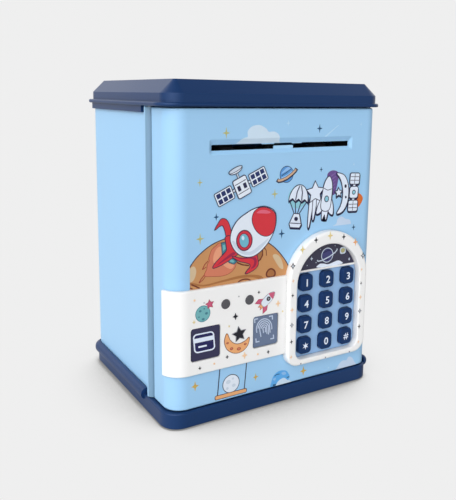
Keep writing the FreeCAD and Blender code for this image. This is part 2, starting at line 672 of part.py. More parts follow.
def control_board():
    x0, _, z0, z1 = BOARD
    y = BOARD_Y + BOARD_THICK
    chip = block(-50, -42, y, y + 1.4, 58, 66)
    driver = block(-20, -15, y, y + 1.4, 66, 71)
    plug = block(x0 + 4, x0 + 12, y, y + 4.5, z1 - 14, z1 - 8)
    return one(union([board(BOARD, BOARD_Y), chip, driver, plug]))


def board_screws():
    screws = []
    for limits, y in ((BOARD, BOARD_Y), (PAD_BOARD, PAD_BOARD_Y)):
        for x, z in board_points(limits):
            screws.append(screw(Vector(x, y + BOARD_THICK, z), Y_AXIS * -1, 0.9, 5, 1.7, 1.1))
    return screws


def status_leds():
    leds = []
    for x, z in LENSES:
        body = rod_y(x, 2.3, BOARD_Y, z, 1.5)
        rim = rod_y(x, BOARD_Y - 1, BOARD_Y, z, 1.9)
        leds.append(one(union([rounded(body, 1.2, lambda p, e: e.BoundBox.YMax < 2.31), rim])))
    return leds


def led_lenses():
    lenses = []
    for x, z in LENSES:
        lens = rod_y(x, -BAND_PROUD - 0.3, 0, z, LENS_R)
        lens = rounded(lens, 0.4, lambda p, e: e.BoundBox.YMax < -BAND_PROUD)
        lenses.append(one(union([lens, rod_y(x, 0, WALL, z, 2.0)])))
    return lenses


def card_pad():
    return one(pad_prism(CARD_PAD, 0, 0.7 - BAND_PROUD, 0))


def fingerprint_button():
    cap = pad_prism(PRINT_PAD, 0, 0.7 - BAND_PROUD, WALL + 0.05)
    cap = rounded(cap, 0.4, lambda p, e: e.BoundBox.YMax < 0.71 - BAND_PROUD)
    flange = pad_prism(PRINT_PAD, 1.4, WALL + 0.05, WALL + 0.9)
    plunger = rod_y(PRINT_PAD[0], WALL, 3.7, PRINT_PAD[1], 2.0)
    return one(union([cap, flange, plunger]))


def fingerprint_switch():
    x, z = PRINT_PAD[:2]
    body = block(x - 3, x + 3, 4.8, BOARD_Y, z - 3, z + 3)
    return one(union([body, rod_y(x, 4.4, 4.8, z, 1.6)]))


# ---- door's back: cover, battery, speaker -------------------------------------------------
def door_back_cover():
    x0, x1, z0, z1 = COVER
    inside = COVER_BACK - COVER_WALL
    pan = facing(rectangle(x0, x1, z0, z1, 4.0), WALL, COVER_BACK)
    pan = rounded(pan, 1.2, lambda p, e: e.BoundBox.YMin > COVER_BACK - 0.01)
    t = COVER_WALL
    pan = pan.cut(facing(rectangle(x0 + t, x1 - t, z0 + t, z1 - t, 2.0), 0, inside))
    pan = pan.common(standing(door_outline(-WALL - 0.05, DEPTH), 0, HEIGHT))
    openings = [
        facing(rectangle(SLOT_X - 48, SLOT_X + 48, SLOT_LOW - 4, SLOT_HIGH + 1.5, 1.0), inside - 1, 30),
        facing(battery_corners(0.3), inside - 1, 30),
        block(x1 - t - 1, x1 + 1, LATCH_Y - BOLT[0] / 2 - 0.2, LATCH_Y + BOLT[0] / 2 + 0.2,
              LATCH_Z - BOLT[1] / 2 - 0.2, LATCH_Z + BOLT[1] / 2 + 0.2),
    ]
    openings += [rod_y(x, inside - 1, 30, z, 1.4) for x, z in COVER_SCREWS]
    x, z = SPEAKER
    for step in range(-2, 3):
        half = sqrt((SPEAKER_R - 4) ** 2 - (step * 4) ** 2)
        openings.append(block(x - half, x + half, inside - 1, 30, z + step * 4 - 0.9, z + step * 4 + 0.9))
    pan = pan.cut(union(openings))
    lug = rod_y(BATTERY_X, inside - BATTERY_LUG, inside, BATTERY_LUG_Z, 3.0)
    pan = union([pan, lug]).cut(rod_y(BATTERY_X, inside - BATTERY_LUG - 1, 30, BATTERY_LUG_Z, 1.1))
    return one(pan)


def battery_corners(gap):
    return rectangle(BATTERY_X - BATTERY_HALF_W - gap, BATTERY_X + BATTERY_HALF_W + gap,
                     BATTERY_LOW - gap, BATTERY_HIGH + gap, 1.5)


def cover_screws():
    return [screw(Vector(x, COVER_BACK, z), Y_AXIS * -1, 1.2, 11, 2.7, 1.6) for x, z in COVER_SCREWS]


def battery_box():
    outer = facing(battery_corners(0), BATTERY_FLOOR, BATTERY_RIM)
    inner = facing(battery_corners(-BATTERY_WALL), BATTERY_FLOOR + BATTERY_WALL, BATTERY_RIM + 1)
    solids = [outer.cut(inner)]
    for side in (-0.5, 0.5):
        x = BATTERY_X + side * CELL_PITCH
        solids.append(
            block(x - 0.2, x + 0.2, BATTERY_FLOOR + 0.5, 7.5, BATTERY_LOW + 0.5, BATTERY_HIGH - 0.5)
        )
    return one(union(solids))


def battery_cells():
    cells = []
    for i in (-1, 0, 1):
        x = BATTERY_X + i * CELL_PITCH
        body = rod_z(x, CELL_Y, 0, CELL_LENGTH - 1.2, CELL_R)
        body = rounded(body, 0.6, lambda p, e: e.BoundBox.ZLength < 0.01)
        cell = union([body, rod_z(x, CELL_Y, CELL_LENGTH - 2, CELL_LENGTH, 2.7)])
        if i == 0:
            cell.rotate(Vector(x, CELL_Y, CELL_LENGTH / 2), Y_AXIS, 180)
        cell.translate(Z_AXIS * CELL_LOW)
        cells.append(one(cell))
    return cells


def battery_contacts():
    """A plate at each end of every cell, with a coil against the flat end."""
    plates = []
    for i in (-1, 0, 1):
        x = BATTERY_X + i * CELL_PITCH
        for low in (True, False):
            wall = BATTERY_LOW + BATTERY_WALL if low else BATTERY_HIGH - BATTERY_WALL
            inward = 1 if low else -1
            cell_end = CELL_LOW if low else CELL_LOW + CELL_LENGTH
            near, far = sorted((wall, wall + inward * 0.4))
            plate = block(x - 5.5, x + 5.5, CELL_Y - 4.5, CELL_Y + 5.5, near, far)
            sprung = low == (i != 0)
            if sprung:
                spring = coil(3.6, 0.35, abs(cell_end - wall) - 0.2, 2.5)
            else:
                spring = Part.makeCylinder(2.0, abs(cell_end - wall) - 0.2)
            if not low:
                spring.rotate(Vector(0, 0, 0), X_AXIS, 180)
            spring.translate(Vector(x, CELL_Y, wall + inward * 0.2))
            plates.append(one(union([plate, spring])))
    return plates


def battery_cover():
    inside = COVER_BACK - COVER_WALL
    lid = facing(battery_corners(0), inside, COVER_BACK)
    lid = rounded(lid, 0.5, lambda p, e: e.BoundBox.YMin > COVER_BACK - 0.01)
    ear = facing(rectangle(BATTERY_X - 5, BATTERY_X + 5, BATTERY_HIGH - 4, BATTERY_HIGH + 9, 2.0),
                 COVER_BACK, COVER_BACK + 1.2)
    lid = union([lid, ear, facing(rectangle(BATTERY_X - 4, BATTERY_X + 4, BATTERY_HIGH - 3.8,
                                            BATTERY_HIGH - 0.6, 1.0), COVER_BACK - 1, COVER_BACK + 0.5)])
    lid = lid.cut(rod_y(BATTERY_X, COVER_BACK - 0.5, 30, BATTERY_LUG_Z, 1.3))
    grips = [block(BATTERY_X - 9, BATTERY_X + 9, COVER_BACK - 0.5, 30, BATTERY_LOW + 5 + i * 2.4,
                   BATTERY_LOW + 6.2 + i * 2.4) for i in range(3)]
    return one(lid.cut(union(grips)))


def battery_cover_screw():
    head = Vector(BATTERY_X, COVER_BACK + 1.2, BATTERY_LUG_Z)
    return screw(head, Y_AXIS * -1, 1.1, 6, 2.3, 1.4)


def speaker():
    x, z = SPEAKER
    back = COVER_BACK - COVER_WALL
    rim = rod_y(x, back - 1.6, back, z, SPEAKER_R)
    basket = Part.makeCone(7.5, SPEAKER_R - 1, 3.0, Vector(x, back - 4.6, z), Y_AXIS)
    magnet = rod_y(x, back - 7.2, back - 4.5, z, 6.5)
    cone = Part.makeCone(3.0, SPEAKER_R - 2.0, 1.4, Vector(x, back - 1.4, z), Y_AXIS)
    return one(union([rim, basket, magnet]).cut(cone))


def bill_guide():
    """Curved lip behind the exit slot that turns notes down into the compartment."""
    x0, x1 = SLOT_X - 46, SLOT_X + 46
    y0, z0 = COVER_BACK, SLOT_HIGH + 2.2
    outer_r, inner_r = 7.4, 6.2
    at = on_yz(x0)

    def bend(r, degrees):
        angle = radians(degrees)
        return at(y0 + 0.2 + r * sin(angle), z0 - outer_r + 1.2 + r * cos(angle))

    edges = [
        Part.Arc(bend(outer_r, 5), bend(outer_r, 45), bend(outer_r, 88)).toShape(),
        Part.makeLine(bend(outer_r, 88), bend(inner_r, 88)),
        Part.Arc(bend(inner_r, 88), bend(inner_r, 45), bend(inner_r, 5)).toShape(),
        Part.makeLine(bend(inner_r, 5), bend(outer_r, 5)),
    ]
    lip = prism(Part.Wire(edges), X_AXIS * (x1 - x0))
    tab = block(x0, x1, y0, y0 + 1.2, z0 - 0.2, z0 + 5)
    return one(union([lip, tab]))


# ---- note feeder --------------------------------------------------------------------------
def feeder_frame():
    back = COVER_BACK - COVER_WALL - 0.2
    half, t = FRAME_X, FRAME_THICK
    left = block(-half - t, -half, WALL, back, DRIVE_Z - 6, IDLER_Z + 7)
    right = block(half, half + t, WALL, back, MOTOR_Z - 11, IDLER_Z + 7)
    floor = block(-half - 0.5, half + 0.5, WALL, back, SLOT_LOW - 1.5, SLOT_LOW - 0.3)
    roof = block(-half - 0.5, half + 0.5, WALL, back, SLOT_HIGH + 0.3, SLOT_HIGH + 1.5)
    frame = union([left, right, floor, roof])
    for x in ROLLER_XS:
        w = ROLLER_W / 2 + 0.8
        frame = frame.cut(block(x - w, x + w, SHAFT_Y - 6, SHAFT_Y + 6, SLOT_LOW - 5, SLOT_HIGH + 5))
    frame = frame.cut(rod_x(-half - t - 1, half + t + 1, SHAFT_Y, DRIVE_Z, SHAFT_R + RUNNING))
    frame = frame.cut(rod_x(-half - t - 1, half + t + 1, SHAFT_Y, IDLER_Z, IDLER_SHAFT_R + RUNNING))
    frame = frame.cut(rod_x(half - 1, half + t + 1, SHAFT_Y, REDUCTION_Z, AXLE_R))
    frame = frame.cut(rod_x(half - 1, half + t + 1, SHAFT_Y, MOTOR_Z, 3.05))
    return one(frame)


def drive_shaft():
    return rod_x(-FRAME_X - FRAME_THICK - 0.8, GEAR_NEAR[1], SHAFT_Y, DRIVE_Z, SHAFT_R)


def idler_shaft():
    reach = FRAME_X + FRAME_THICK + 0.8
    return rod_x(-reach, reach, SHAFT_Y, IDLER_Z, IDLER_SHAFT_R)


def rollers(z, r, shaft_r):
    tyres = []
    for x in ROLLER_XS:
        tyre = rod_x(x - ROLLER_W / 2, x + ROLLER_W / 2, SHAFT_Y, z, r)
        tyre = rounded(tyre, 0.5, lambda p, e: e.BoundBox.XLength < 0.01)
        tyres.append(tyre.cut(rod_x(x - ROLLER_W, x + ROLLER_W, SHAFT_Y, z, shaft_r)))
    return tyres


def gear_angles():
    """Tooth angles at rest: a tooth of one gear lies in a gap of the other, up and down."""
    up, down = pi / 2, -pi / 2
    return {
        "drive": down + pi / TEETH_DRIVE,
        "small": up,
        "large": down + pi / TEETH_LARGE,
        "pinion": up,
    }


def drive_gear():
    disc = gear(TEETH_DRIVE, gear_angles()["drive"], SHAFT_Y, DRIVE_Z, *GEAR_NEAR)
    hub = rod_x(GEAR_NEAR[0] - 1.5, GEAR_NEAR[0], SHAFT_Y, DRIVE_Z, 3.0)
    return one(union([disc, hub]).cut(rod_x(50, 65, SHAFT_Y, DRIVE_Z, SHAFT_R)))


def reduction_gear():
    small = gear(TEETH_SMALL, gear_angles()["small"], SHAFT_Y, REDUCTION_Z, *GEAR_NEAR)
    large = gear(TEETH_LARGE, gear_angles()["large"], SHAFT_Y, REDUCTION_Z, *GEAR_FAR)
    hub = rod_x(GEAR_NEAR[1], GEAR_FAR[0], SHAFT_Y, REDUCTION_Z, 2.2)
    cluster = union([small, hub, large])
    return one(cluster.cut(rod_x(50, 65, SHAFT_Y, REDUCTION_Z, AXLE_R + RUNNING)))


def reduction_axle():
    pin = rod_x(FRAME_X, GEAR_FAR[1] + 0.3, SHAFT_Y, REDUCTION_Z, AXLE_R)
    collar = rod_x(FRAME_X + FRAME_THICK, GEAR_NEAR[0] - 0.1, SHAFT_Y, REDUCTION_Z, 2.0)
    return one(union([pin, collar]))


def motor_pinion():
    teeth = gear(TEETH_PINION, gear_angles()["pinion"], SHAFT_Y, MOTOR_Z, *GEAR_FAR)
    shaft = rod_x(FRAME_X + FRAME_THICK + 0.3, GEAR_FAR[0], SHAFT_Y, MOTOR_Z, 1.0)
    return one(union([teeth, shaft]))


def feed_motor():
    r, flat = 10.0, 7.7
    can = rod_x(FRAME_X - 25, FRAME_X, SHAFT_Y, MOTOR_Z, r)
    can = can.common(block(0, 60, SHAFT_Y - flat, SHAFT_Y + flat, MOTOR_Z - r, MOTOR_Z + r))
    bush = rod_x(FRAME_X, FRAME_X + 1.9, SHAFT_Y, MOTOR_Z, 3.0)
    end_cap = rod_x(FRAME_X - 27, FRAME_X - 25, SHAFT_Y, MOTOR_Z, 7.0)
    tags = [block(FRAME_X - 30, FRAME_X - 26.5, SHAFT_Y - 0.2, SHAFT_Y + 0.2, MOTOR_Z + s * 4.5 - 1,
                  MOTOR_Z + s * 4.5 + 1) for s in (-1, 1)]
    return one(union([can, bush, end_cap] + tags))


# ---- latch --------------------------------------------------------------------------------
def solenoid_frame():
    x0, x1 = SOLENOID
    half = 6.6
    back = COVER_BACK - COVER_WALL
    ends = [block(x, x + 1, LATCH_Y - half, back, LATCH_Z - half, LATCH_Z + half) for x in (x0, x1 - 1)]
    web = block(x0, x1, back - 1, back, LATCH_Z - half, LATCH_Z + half)
    bracket = union(ends + [web])
    return one(bracket.cut(rod_x(x1 - 2, x1 + 1, LATCH_Y, LATCH_Z, BOLT_R + 0.1)))


def solenoid_coil():
    x0, x1 = SOLENOID
    winding = rod_x(x0 + 2, x1 - 2, LATCH_Y, LATCH_Z, 5.0)
    flanges = [rod_x(x, x + 1, LATCH_Y, LATCH_Z, 5.7) for x in (x0 + 1, x1 - 2)]
    return one(union([winding] + flanges).cut(rod_x(x0 + 4, x1, LATCH_Y, LATCH_Z, BOLT_R + 0.1)))


def latch_bolt():
    rod = rod_x(SOLENOID[0] + 6, COLLAR_X + 0.2, LATCH_Y, LATCH_Z, BOLT_R)
    collar = rod_x(COLLAR_X, COLLAR_X + 1.2, LATCH_Y, LATCH_Z, 3.6)
    deep, high = BOLT[0] / 2, BOLT[1] / 2
    tip = block(COLLAR_X + 1, BOLT_TIP, LATCH_Y - deep, LATCH_Y + deep, LATCH_Z - high, LATCH_Z + high)
    tip = tip.makeChamfer(0.8, [e for e in tip.Edges if e.BoundBox.XMin > BOLT_TIP - 0.01
                                and e.CenterOfMass.y < LATCH_Y - deep + 0.01])
    return one(union([rod, collar, tip]))


def latch_spring():
    spring = coil(3.1, 0.25, COLLAR_X - SOLENOID[1] - 0.1, 4)
    spring.rotate(Vector(0, 0, 0), Y_AXIS, 90)
    spring.translate(Vector(SOLENOID[1] + 0.05, LATCH_Y, LATCH_Z))
    return one(spring)


# ---- output -------------------------------------------------------------------------------
def every_part():
    parts = {
        "rear_housing": rear_housing(),
        "roof_cap": roof_cap(),
        "base_tray": base_tray(),
        "rubber_feet": rubber_feet(),
        "roof_screws": roof_screws(),
        "base_screws": base_screws(),
        "latch_striker": latch_striker(),
        "door_shell": door_shell(),
        "hinge_pins": hinge_pins(),
        "control_band": control_band(),
        "keypad_bezel": keypad_bezel(),
        "keypad_plate": keypad_plate(),
        "keypad_header": keypad_header(),
        "keypad_membrane": keypad_membrane(),
        "keypad_board": keypad_board(),
        "card_pad": card_pad(),
        "led_lenses": led_lenses(),
        "control_board": control_board(),
        "board_screws": board_screws(),
        "status_leds": status_leds(),
        "fingerprint_switch": fingerprint_switch(),
        "fingerprint_button": fingerprint_button(),
        "door_back_cover": door_back_cover(),
        "cover_screws": cover_screws(),
        "battery_box": battery_box(),
        "battery_cells": battery_cells(),
        "battery_contacts": battery_contacts(),
        "battery_cover": battery_cover(),
        "battery_cover_screw": battery_cover_screw(),
        "speaker": speaker(),
        "bill_guide": bill_guide(),
        "feeder_frame": feeder_frame(),
        "feed_motor": feed_motor(),
        "motor_pinion": motor_pinion(),
        "reduction_axle": reduction_axle(),
        "reduction_gear": reduction_gear(),
        "drive_shaft": drive_shaft(),
        "drive_rollers": rollers(DRIVE_Z, DRIVE_R, SHAFT_R),
        "drive_gear": drive_gear(),
        "idler_shaft": idler_shaft(),
        "idler_rollers": rollers(IDLER_Z, IDLER_R, IDLER_SHAFT_R),
        "solenoid_frame": solenoid_frame(),
        "solenoid_coil": solenoid_coil(),
        "latch_spring": latch_spring(),
        "latch_bolt": latch_bolt(),
    }
    for row in KEY_NAMES:
        for name in row:
            parts["key_" + name] = key(name)
    return parts


def save(name, solids):
    shape = Part.makeCompound(solids) if isinstance(solids, list) else solids
    moved = shape.copy()
    moved.translate(Y_AXIS * FRAME_SHIFT)
    if not moved.isValid():
        raise ValueError("%s is not a valid shape" % name)
    moved.exportStep("parts/%s.step" % name)


os.makedirs("parts", exist_ok=True)
for part_name, part_solids in every_part().items():
    save(part_name, part_solids)
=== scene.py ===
import json
import math

import bmesh
import bpy
from mathutils import Matrix, Vector


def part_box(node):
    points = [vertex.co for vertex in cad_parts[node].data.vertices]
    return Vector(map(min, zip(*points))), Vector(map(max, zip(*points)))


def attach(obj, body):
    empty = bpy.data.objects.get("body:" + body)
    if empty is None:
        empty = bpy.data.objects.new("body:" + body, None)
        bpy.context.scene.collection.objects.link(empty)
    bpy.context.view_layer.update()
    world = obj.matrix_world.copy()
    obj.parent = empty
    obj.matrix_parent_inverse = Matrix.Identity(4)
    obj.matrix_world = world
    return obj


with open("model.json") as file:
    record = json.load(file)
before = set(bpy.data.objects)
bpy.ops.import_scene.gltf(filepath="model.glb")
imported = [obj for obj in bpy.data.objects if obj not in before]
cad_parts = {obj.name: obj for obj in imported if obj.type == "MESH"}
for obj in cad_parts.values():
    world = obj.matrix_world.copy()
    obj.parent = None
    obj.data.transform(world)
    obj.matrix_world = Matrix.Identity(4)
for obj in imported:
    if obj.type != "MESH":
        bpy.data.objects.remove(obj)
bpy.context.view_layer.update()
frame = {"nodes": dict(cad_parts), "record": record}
NODES = frame["nodes"]
MM = 0.001


def face_of(node):
    """Where a node's foremost face lies, in millimetres along y."""
    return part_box(node)[0].y / MM


DOOR_Y = face_of("door_shell")


# ---- materials ----------------------------------------------------------------------------
FRONT_LIGHT = 0.85       # share of white that the studio light gives a matt face turned to the front
FRONT_GLOSS = 0.035      # what the gloss adds to it


def linear(hex_colour):
    """Linear RGB of a colour written as six hex digits."""
    values = [int(hex_colour[i:i + 2], 16) / 255 for i in (0, 2, 4)]
    return [v / 12.92 if v <= 0.04045 else ((v + 0.055) / 1.055) ** 2.4 for v in values]


def pigment(hex_colour):
    """The colour to give a surface so that its front shows as the colour asked for."""
    return [max(0.003, (v - FRONT_GLOSS) / FRONT_LIGHT) for v in linear(hex_colour)]


PAINTED_SHADE_GROOVE_WIDTH = 2.0             # how wide a gap still gets painted shade, in millimetres


class Nodes:
    """Short way to build a node tree: each call adds a node, sets its inputs and links what is a socket."""

    def __init__(self, tree):
        self.tree = tree

    def __call__(self, kind, out=0, settings=None, **inputs):
        node = self.tree.nodes.new("ShaderNode" + kind)
        for name, value in (settings or {}).items():
            setattr(node, name, value)
        for name, value in inputs.items():
            by_number = name[0] == "i" and name[1:].isdigit()
            self.put(node.inputs[int(name[1:]) if by_number else name], value)
        return node.outputs[out]

    def put(self, socket, value):
        if isinstance(value, bpy.types.NodeSocket):
            self.tree.links.new(value, socket)
        else:
            socket.default_value = value

    def math(self, operation, *values):
        inputs = {"i%d" % i: v for i, v in enumerate(values)}
        return self("Math", settings={"operation": operation}, **inputs)

    def blend(self, factor, a, b):
        return self("Mix", out=2, settings={"data_type": "RGBA"}, Factor=factor, A=a, B=b)

    def span(self, value, low, high, to_low, to_high):
        return self("MapRange", Value=value, **{"From Min": low, "From Max": high, "To Min": to_low,
                                                "To Max": to_high})


def material(name, colour=None, rough=0.3, metal=0.0, coat=0.0, tint=0.04, tint_scale=18.0, grain=0.03,
             grain_scale=900.0, spread=0.06, gloss=0.5, edge=0.0, edge_light=0.25, base=None,
             reflected=(1.0, 1.0, 1.0), crease=None):
    """Procedural finish: slow colour drift, roughness patches, a fine moulded or printed grain, painted shade
    in grooves, and edges that are rounded a little and painted lighter, partly as wear and partly as painted
    highlight. The colour is six hex digits as it shows from the front, or base gives it as linear RGB. The
    crease argument is a strip of painted shade: middle and half width along y in millimetres, and strength."""
    m = bpy.data.materials.new(name)
    m.use_nodes = True
    shader = m.node_tree.nodes["Principled BSDF"]
    n = Nodes(m.node_tree)
    where = n("TexCoord", out="Object")
    drift = n("TexNoise", Vector=where, Scale=tint_scale, Detail=4.0)
    base = base or pigment(colour)
    darker, brighter = [c * (1 - tint) for c in base], [min(1, c * (1 + tint)) for c in base]
    shown = n.blend(drift, (*darker, 1), (*brighter, 1))
    roughness = n.span(drift, 0.0, 1.0, max(0.02, rough - spread), min(1.0, rough + spread))
    fine = n("TexNoise", Vector=where, Scale=grain_scale, Detail=2.0)
    bump = n("Bump", Strength=grain, Distance=0.0002, Height=fine)
    if edge:
        soft = n("Bevel", settings={"samples": 4}, Radius=edge * MM)
        plain = n("NewGeometry", out="Normal")
        turned = n("VectorMath", out="Value", settings={"operation": "DOT_PRODUCT"}, i0=soft, i1=plain)
        # edges painted lighter: partly wear, partly painted highlight
        wear_and_highlight = n.math("MULTIPLY", n.span(turned, 0.985, 0.80, 0.0, 1.0), n.span(fine, 0.3, 0.7, 0.3, 1.0))
        lighter = [min(1.0, c + edge_light * 0.12 + c * edge_light) for c in base]
        shown = n.blend(n.math("MULTIPLY", wear_and_highlight, 0.8), shown, (*lighter, 1))
        n.put(bump.node.inputs["Normal"], soft)
        # painted shade: colour darkened in grooves and gaps, where shade falls
        reached = n("AmbientOcclusion", out="AO", settings={"samples": 4}, Distance=PAINTED_SHADE_GROOVE_WIDTH * MM)
        shown = n.blend(n.span(reached, 0.25, 0.85, 0.0, 1.0), (*[c * 0.65 for c in base], 1), shown)
    if crease:
        middle, half, strength = crease
        # painted shade: a strip along y, darkest along its middle
        off = n.math("ABSOLUTE", n.math("SUBTRACT", n("SeparateXYZ", out="Y", Vector=where), middle * MM))
        shade = n.span(off, half * 0.6 * MM, half * MM, strength, 0.0)
        shown = n.blend(shade, shown, (*[c * 0.3 for c in base], 1))
    n.put(shader.inputs["Base Color"], shown)
    n.put(shader.inputs["Roughness"], roughness)
    n.put(shader.inputs["Normal"], bump)
    shader.inputs["Metallic"].default_value = metal
    shader.inputs["Coat Weight"].default_value = coat
    shader.inputs["Specular IOR Level"].default_value = gloss
    shader.inputs["Specular Tint"].default_value = (*reflected, 1)
    shader.inputs["Coat Roughness"].default_value = 0.12
    return m


PLASTIC = dict(rough=0.35, spread=0.05, coat=0.05, edge=0.35, grain=0.012)
FINISH = {
    "body_blue": material("body_blue", "9CC6E8", tint=0.02, **PLASTIC),
    "navy": material("navy", tint=0.05, rough=0.33, spread=0.04, edge=0.4, grain=0.012,
                     base=(0.008, 0.035, 0.122), reflected=(0.5, 0.65, 1.0)),
    "white": material("white", "EAEAEA", tint=0.012, edge_light=0.0, **PLASTIC),
    "plate_blue": material("plate_blue", "94B7DF", rough=0.36, coat=0.05, tint=0.03, edge=0.3),
    "key_navy": material("key_navy", rough=0.36, edge_light=0.06, gloss=0.4, tint=0.10, tint_scale=120,
                         edge=0.5, base=(0.009, 0.032, 0.112), reflected=(0.3, 0.5, 1.0)),
    "header_dark": material("header_dark", rough=0.35, coat=0.15, tint=0.08, tint_scale=90,
                            base=(0.026, 0.024, 0.060)),
    "pad_dark": material("pad_dark", rough=0.35, coat=0.2, tint=0.06, tint_scale=90, edge=0.3,
                         base=(0.024, 0.022, 0.078)),
    "pad_grey": material("pad_grey", "6C7A94", rough=0.36, coat=0.1, tint=0.04, tint_scale=90, edge=0.3),
    "lens_grey": material("lens_grey", "56565A", rough=0.2, coat=0.5, tint=0.10, tint_scale=600, edge=0.2),
    "rubber": material("rubber", "3A3A3D", rough=0.8, grain=0.25, grain_scale=1500, edge=0.3),
    "steel": material("steel", "C0C2C6", rough=0.36, metal=1.0, tint=0.08, grain=0.08, grain_scale=1400,
                      edge=0.15),
    "board_green": material("board_green", "2C7A4C", rough=0.35, coat=0.3, tint=0.12, tint_scale=200),
    "mat_grey": material("mat_grey", "A6A9AE", rough=0.7, grain=0.15, edge=0.2),
    "black_plastic": material("black_plastic", "3C3D41", rough=0.45, grain=0.12, edge=0.25),
    "gear_white": material("gear_white", "EDE9DC", rough=0.4, grain=0.06, edge=0.15),
    "led_red": material("led_red", "D2302A", rough=0.15, coat=0.5),
    "cell_label": material("cell_label", "2E7A4C", rough=0.22, spread=0.04, metal=0.3, coat=0.4, edge=0.2),
    "contact_metal": material("contact_metal", "D0CCBB", rough=0.22, spread=0.04, metal=1.0, grain=0.06),
    "winding": material("winding", "B97038", rough=0.36, metal=0.9, grain=0.3, grain_scale=2600),
}


def ink(name, colour):
    return material("ink_" + name, colour, rough=0.36, coat=0.05, tint=0.03, tint_scale=260, grain=0.03,
                    grain_scale=1800, spread=0.04)


INK = {name: ink(name, colour) for name, colour in {
    "line": "34344E", "shadow": "1E2A4C", "white": "D9E1EC", "shade": "C3CFDD", "letter": "D9E2F2",
    "navy": "232E50", "navy_light": "333F68",
    "red": "CB4149", "red_dark": "97354F", "red_light": "D4687C",
    "teal": "6FAFC4", "teal_dark": "4F7E8C", "teal_green": "74AEB3", "teal_faint": "8DC3D3",
    "tan": "C08E62", "tan_pale": "C9B394", "tan_dark": "A3704A", "brown": "6E3F37",
    "flame": "C97C64", "flame_light": "DC9A7C", "flame_line": "9E4F45",
    "cloud": "C6D9E9", "cloud_low": "BFD0E6", "glint_pale": "B4D4EE",
    "gold": "B4B27A", "gold_deep": "C6A75C", "orange": "E2A877", "orange_pale": "E9C6A0",
    "gold_pale": "DCC98C",
    "star_navy": "2F5478", "black": "33343C", "grey": "8E9098", "pink": "C4607C",
    "purple": "6C558C", "purple_light": "8069A2", "orange_deep": "D2703E",
    "planet": "5B93CE", "planet_light": "8DB7E3", "ring": "CBA98C", "wave": "62A6E0", "yellow": "A9A678",
    "card": "34335C", "ridge": "BCC8DC", "dusk": "4A4A74", "tongue": "A6D0F0",
}.items()}

for part in frame["record"]["subparts"]:
    NODES[part["node"]].data.materials.clear()
    NODES[part["node"]].data.materials.append(FINISH[part["material_slot"]])

# painted shade: the gap between the door's side wall and its hinge column is painted darker, as the shade
# that lies there
PAINTED_CREASE_SHADE = (DOOR_Y + 24.2, 2.6, 0.7)
NODES["door_shell"].data.materials[0] = material("door_blue", "9CC6E8", tint=0.02, crease=PAINTED_CREASE_SHADE, **PLASTIC)


# ---- flat shapes, in millimetres on the door: (x, z) ---------------------------------------
def ellipse(x, z, rx, rz=None, turn=0.0, steps=40, start=0.0, stop=360.0):
    """Points round an ellipse, or along the part of it between two angles."""
    rz = rz or rx
    c, s = math.cos(math.radians(turn)), math.sin(math.radians(turn))
    whole = abs(stop - start) == 360
    points = []
    for i in range(steps if whole else steps + 1):
        a = math.radians(start + (stop - start) * i / steps)
        u, v = rx * math.cos(a), rz * math.sin(a)
        points.append((x + u * c - v * s, z + u * s + v * c))
    return points


def star(x, z, r, tall=1.25, waist=0.26, points=4, turn=0.0):
    """Star with straight sides; taller than wide."""
    out = []
    for i in range(points * 2):
        a = math.pi * i / points + math.pi / 2 + math.radians(turn)
        reach = r if i % 2 == 0 else r * waist
        out.append((x + reach * math.cos(a), z + reach * math.sin(a) * tall))
    return out


def smooth(points, steps=6):
    """Closed Catmull-Rom curve through the points."""
    out, n = [], len(points)
    for i in range(n):
        p = [points[(i + k) % n] for k in (-1, 0, 1, 2)]
        for s in range(steps):
            t = s / steps
            out.append(tuple(
                0.5 * (2 * p[1][k] + (p[2][k] - p[0][k]) * t
                       + (2 * p[0][k] - 5 * p[1][k] + 4 * p[2][k] - p[3][k]) * t * t
                       + (3 * p[1][k] - p[0][k] - 3 * p[2][k] + p[3][k]) * t ** 3)
                for k in (0, 1)))
    return out


def stroke(points, width):
    """Band of an even width along an open line."""
    left, right = [], []
    for i, (x, z) in enumerate(points):
        before, after = points[max(0, i - 1)], points[min(len(points) - 1, i + 1)]
        dx, dz = after[0] - before[0], after[1] - before[1]
        length = math.hypot(dx, dz) or 1.0
        nx, nz = -dz / length * width / 2, dx / length * width / 2
        left.append((x + nx, z + nz))
        right.append((x - nx, z - nz))
    return left + right[::-1]


def grown(points, by):
    """The outline moved outwards, for a dark line round a filled shape."""
    n = len(points)
    area = sum(points[i][0] * points[(i + 1) % n][1] - points[(i + 1) % n][0] * points[i][1]
               for i in range(n))
    side = 1 if area > 0 else -1
    out = []
    for i, (x, z) in enumerate(points):
        ax, az = x - points[i - 1][0], z - points[i - 1][1]
        bx, bz = points[(i + 1) % n][0] - x, points[(i + 1) % n][1] - z
        la, lb = math.hypot(ax, az) or 1.0, math.hypot(bx, bz) or 1.0
        n1, n2 = (az / la, -ax / la), (bz / lb, -bx / lb)
        mx, mz = n1[0] + n2[0], n1[1] + n2[1]
        length = max(math.hypot(mx, mz), 0.5)
        scale = min(2.0 / length, 1.9)
        out.append((x + side * by * mx / length * scale, z + side * by * mz / length * scale))
    return out


def moved(points, x=0.0, z=0.0, turn=0.0, size=1.0):
    c, s = math.cos(math.radians(turn)) * size, math.sin(math.radians(turn)) * size
    return [(x + u * c - v * s, z + u * s + v * c) for u, v in points]


def shrunk(points, size):
    """The shape made smaller about the mean of its points."""
    middle = [sum(c) / len(points) * (1 - size) for c in zip(*points)]
    return moved(points, *middle, size=size)


def mirrored(points):
    return [(-x, z) for x, z in points]


def slanted(points, z0, slope):
    """Leans a shape: points below z0 move right."""
    return [(x + (z0 - z) * slope, z) for x, z in points]


